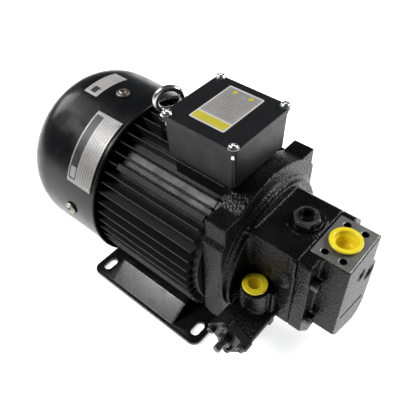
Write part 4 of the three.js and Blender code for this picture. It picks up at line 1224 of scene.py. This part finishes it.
# ---------------------------------------------------------------- studio
def floor():
    size, drop = 4.0, 0.0004
    shape = bpy.data.meshes.new("studio_floor")
    corners = [(x * size, y * size, -drop) for x, y in ((-1, -1), (1, -1), (1, 1), (-1, 1))]
    shape.from_pydata(corners, [], [(0, 1, 2, 3)])
    finish = Finish("pale_studio_floor", roughness=0.7)
    tone = finish.spread(finish.noise(3, 2), 0, 1)
    finish.colour(finish.blend(tone, (0.93, 0.93, 0.93), (0.95, 0.95, 0.95)))
    finish.shader.inputs["Emission Color"].default_value = (1, 1, 1, 1)
    finish.shader.inputs["Emission Strength"].default_value = 0.72
    shape.materials.append(finish.material)
    ground = bpy.data.objects.new("studio_floor", shape)
    bpy.context.scene.collection.objects.link(ground)


def softbox(name, place, size, power, target=(0, 0, 0.1)):
    light = bpy.data.lights.new(name, "AREA")
    light.shape = "RECTANGLE"
    light.size, light.size_y = size
    light.energy = power
    lamp = bpy.data.objects.new(name, light)
    lamp.location = place
    lamp.rotation_euler = (Vector(target) - Vector(place)).to_track_quat("-Z", "Y").to_euler()
    bpy.context.scene.collection.objects.link(lamp)


def studio():
    floor()
    world = bpy.data.worlds.new("studio_air")
    world.use_nodes = True
    world.node_tree.nodes["Background"].inputs["Color"].default_value = (0.9, 0.95, 1.0, 1)
    world.node_tree.nodes["Background"].inputs["Strength"].default_value = 0.10
    bpy.context.scene.world = world
    softbox("left_softbox", (-1.25, -0.1, 0.8), (0.5, 0.7), 6)
    softbox("foot_softbox", (-0.58, -0.58, 1.0), (0.42, 0.42), 11)
    softbox("back_softbox", (0.75, 0.85, 0.75), (0.7, 0.7), 18, (0.55, 0.6, 0))
    bpy.context.scene.view_settings.view_transform = "Standard"


def camera():
    """Looks down at the near, pump side of the unit, with a slight roll."""
    lens = bpy.data.cameras.new("main_camera")
    lens.lens = 43.54
    lens.sensor_width = 36
    lens.dof.use_dof = False
    eye = bpy.data.objects.new("main_camera", lens)
    azimuth, elevation, roll = math.radians(41.17), math.radians(46.77), math.radians(-1.5)
    low = math.cos(elevation)
    back = Vector((math.sin(azimuth) * low, -math.cos(azimuth) * low, math.sin(elevation)))
    level = Vector((math.cos(azimuth), math.sin(azimuth), 0))
    up = back.cross(level)
    right = level * math.cos(roll) + up * math.sin(roll)
    up = back.cross(right)
    place = Vector((271.65, -284.77, 497.96 - 100)) * MM + HOME
    pose = Matrix((right, up, back)).transposed().to_4x4()
    eye.matrix_world = Matrix.Translation(place) @ pose
    bpy.context.scene.collection.objects.link(eye)
    bpy.context.scene.camera = eye


# ---------------------------------------------------------------- building
def motor():
    fan_cover()
    cover_screws()
    rating_plate()
    cover_label()
    motor_frame()
    foot_plate()
    lifting_eye()
    terminal_box()
    terminal_box_lid()
    lid_label()
    lid_screws()


def pump():
    pump_casting()
    end_casting()
    inlet_pad()
    end_ports()
    cover_bolts()
    yellow_plugs()
    filler_plug()
    compensator_casting()
    compensator_cap()
    pressure_adjuster()


camera()
studio()
motor()
pump()
paint_kept_nodes()
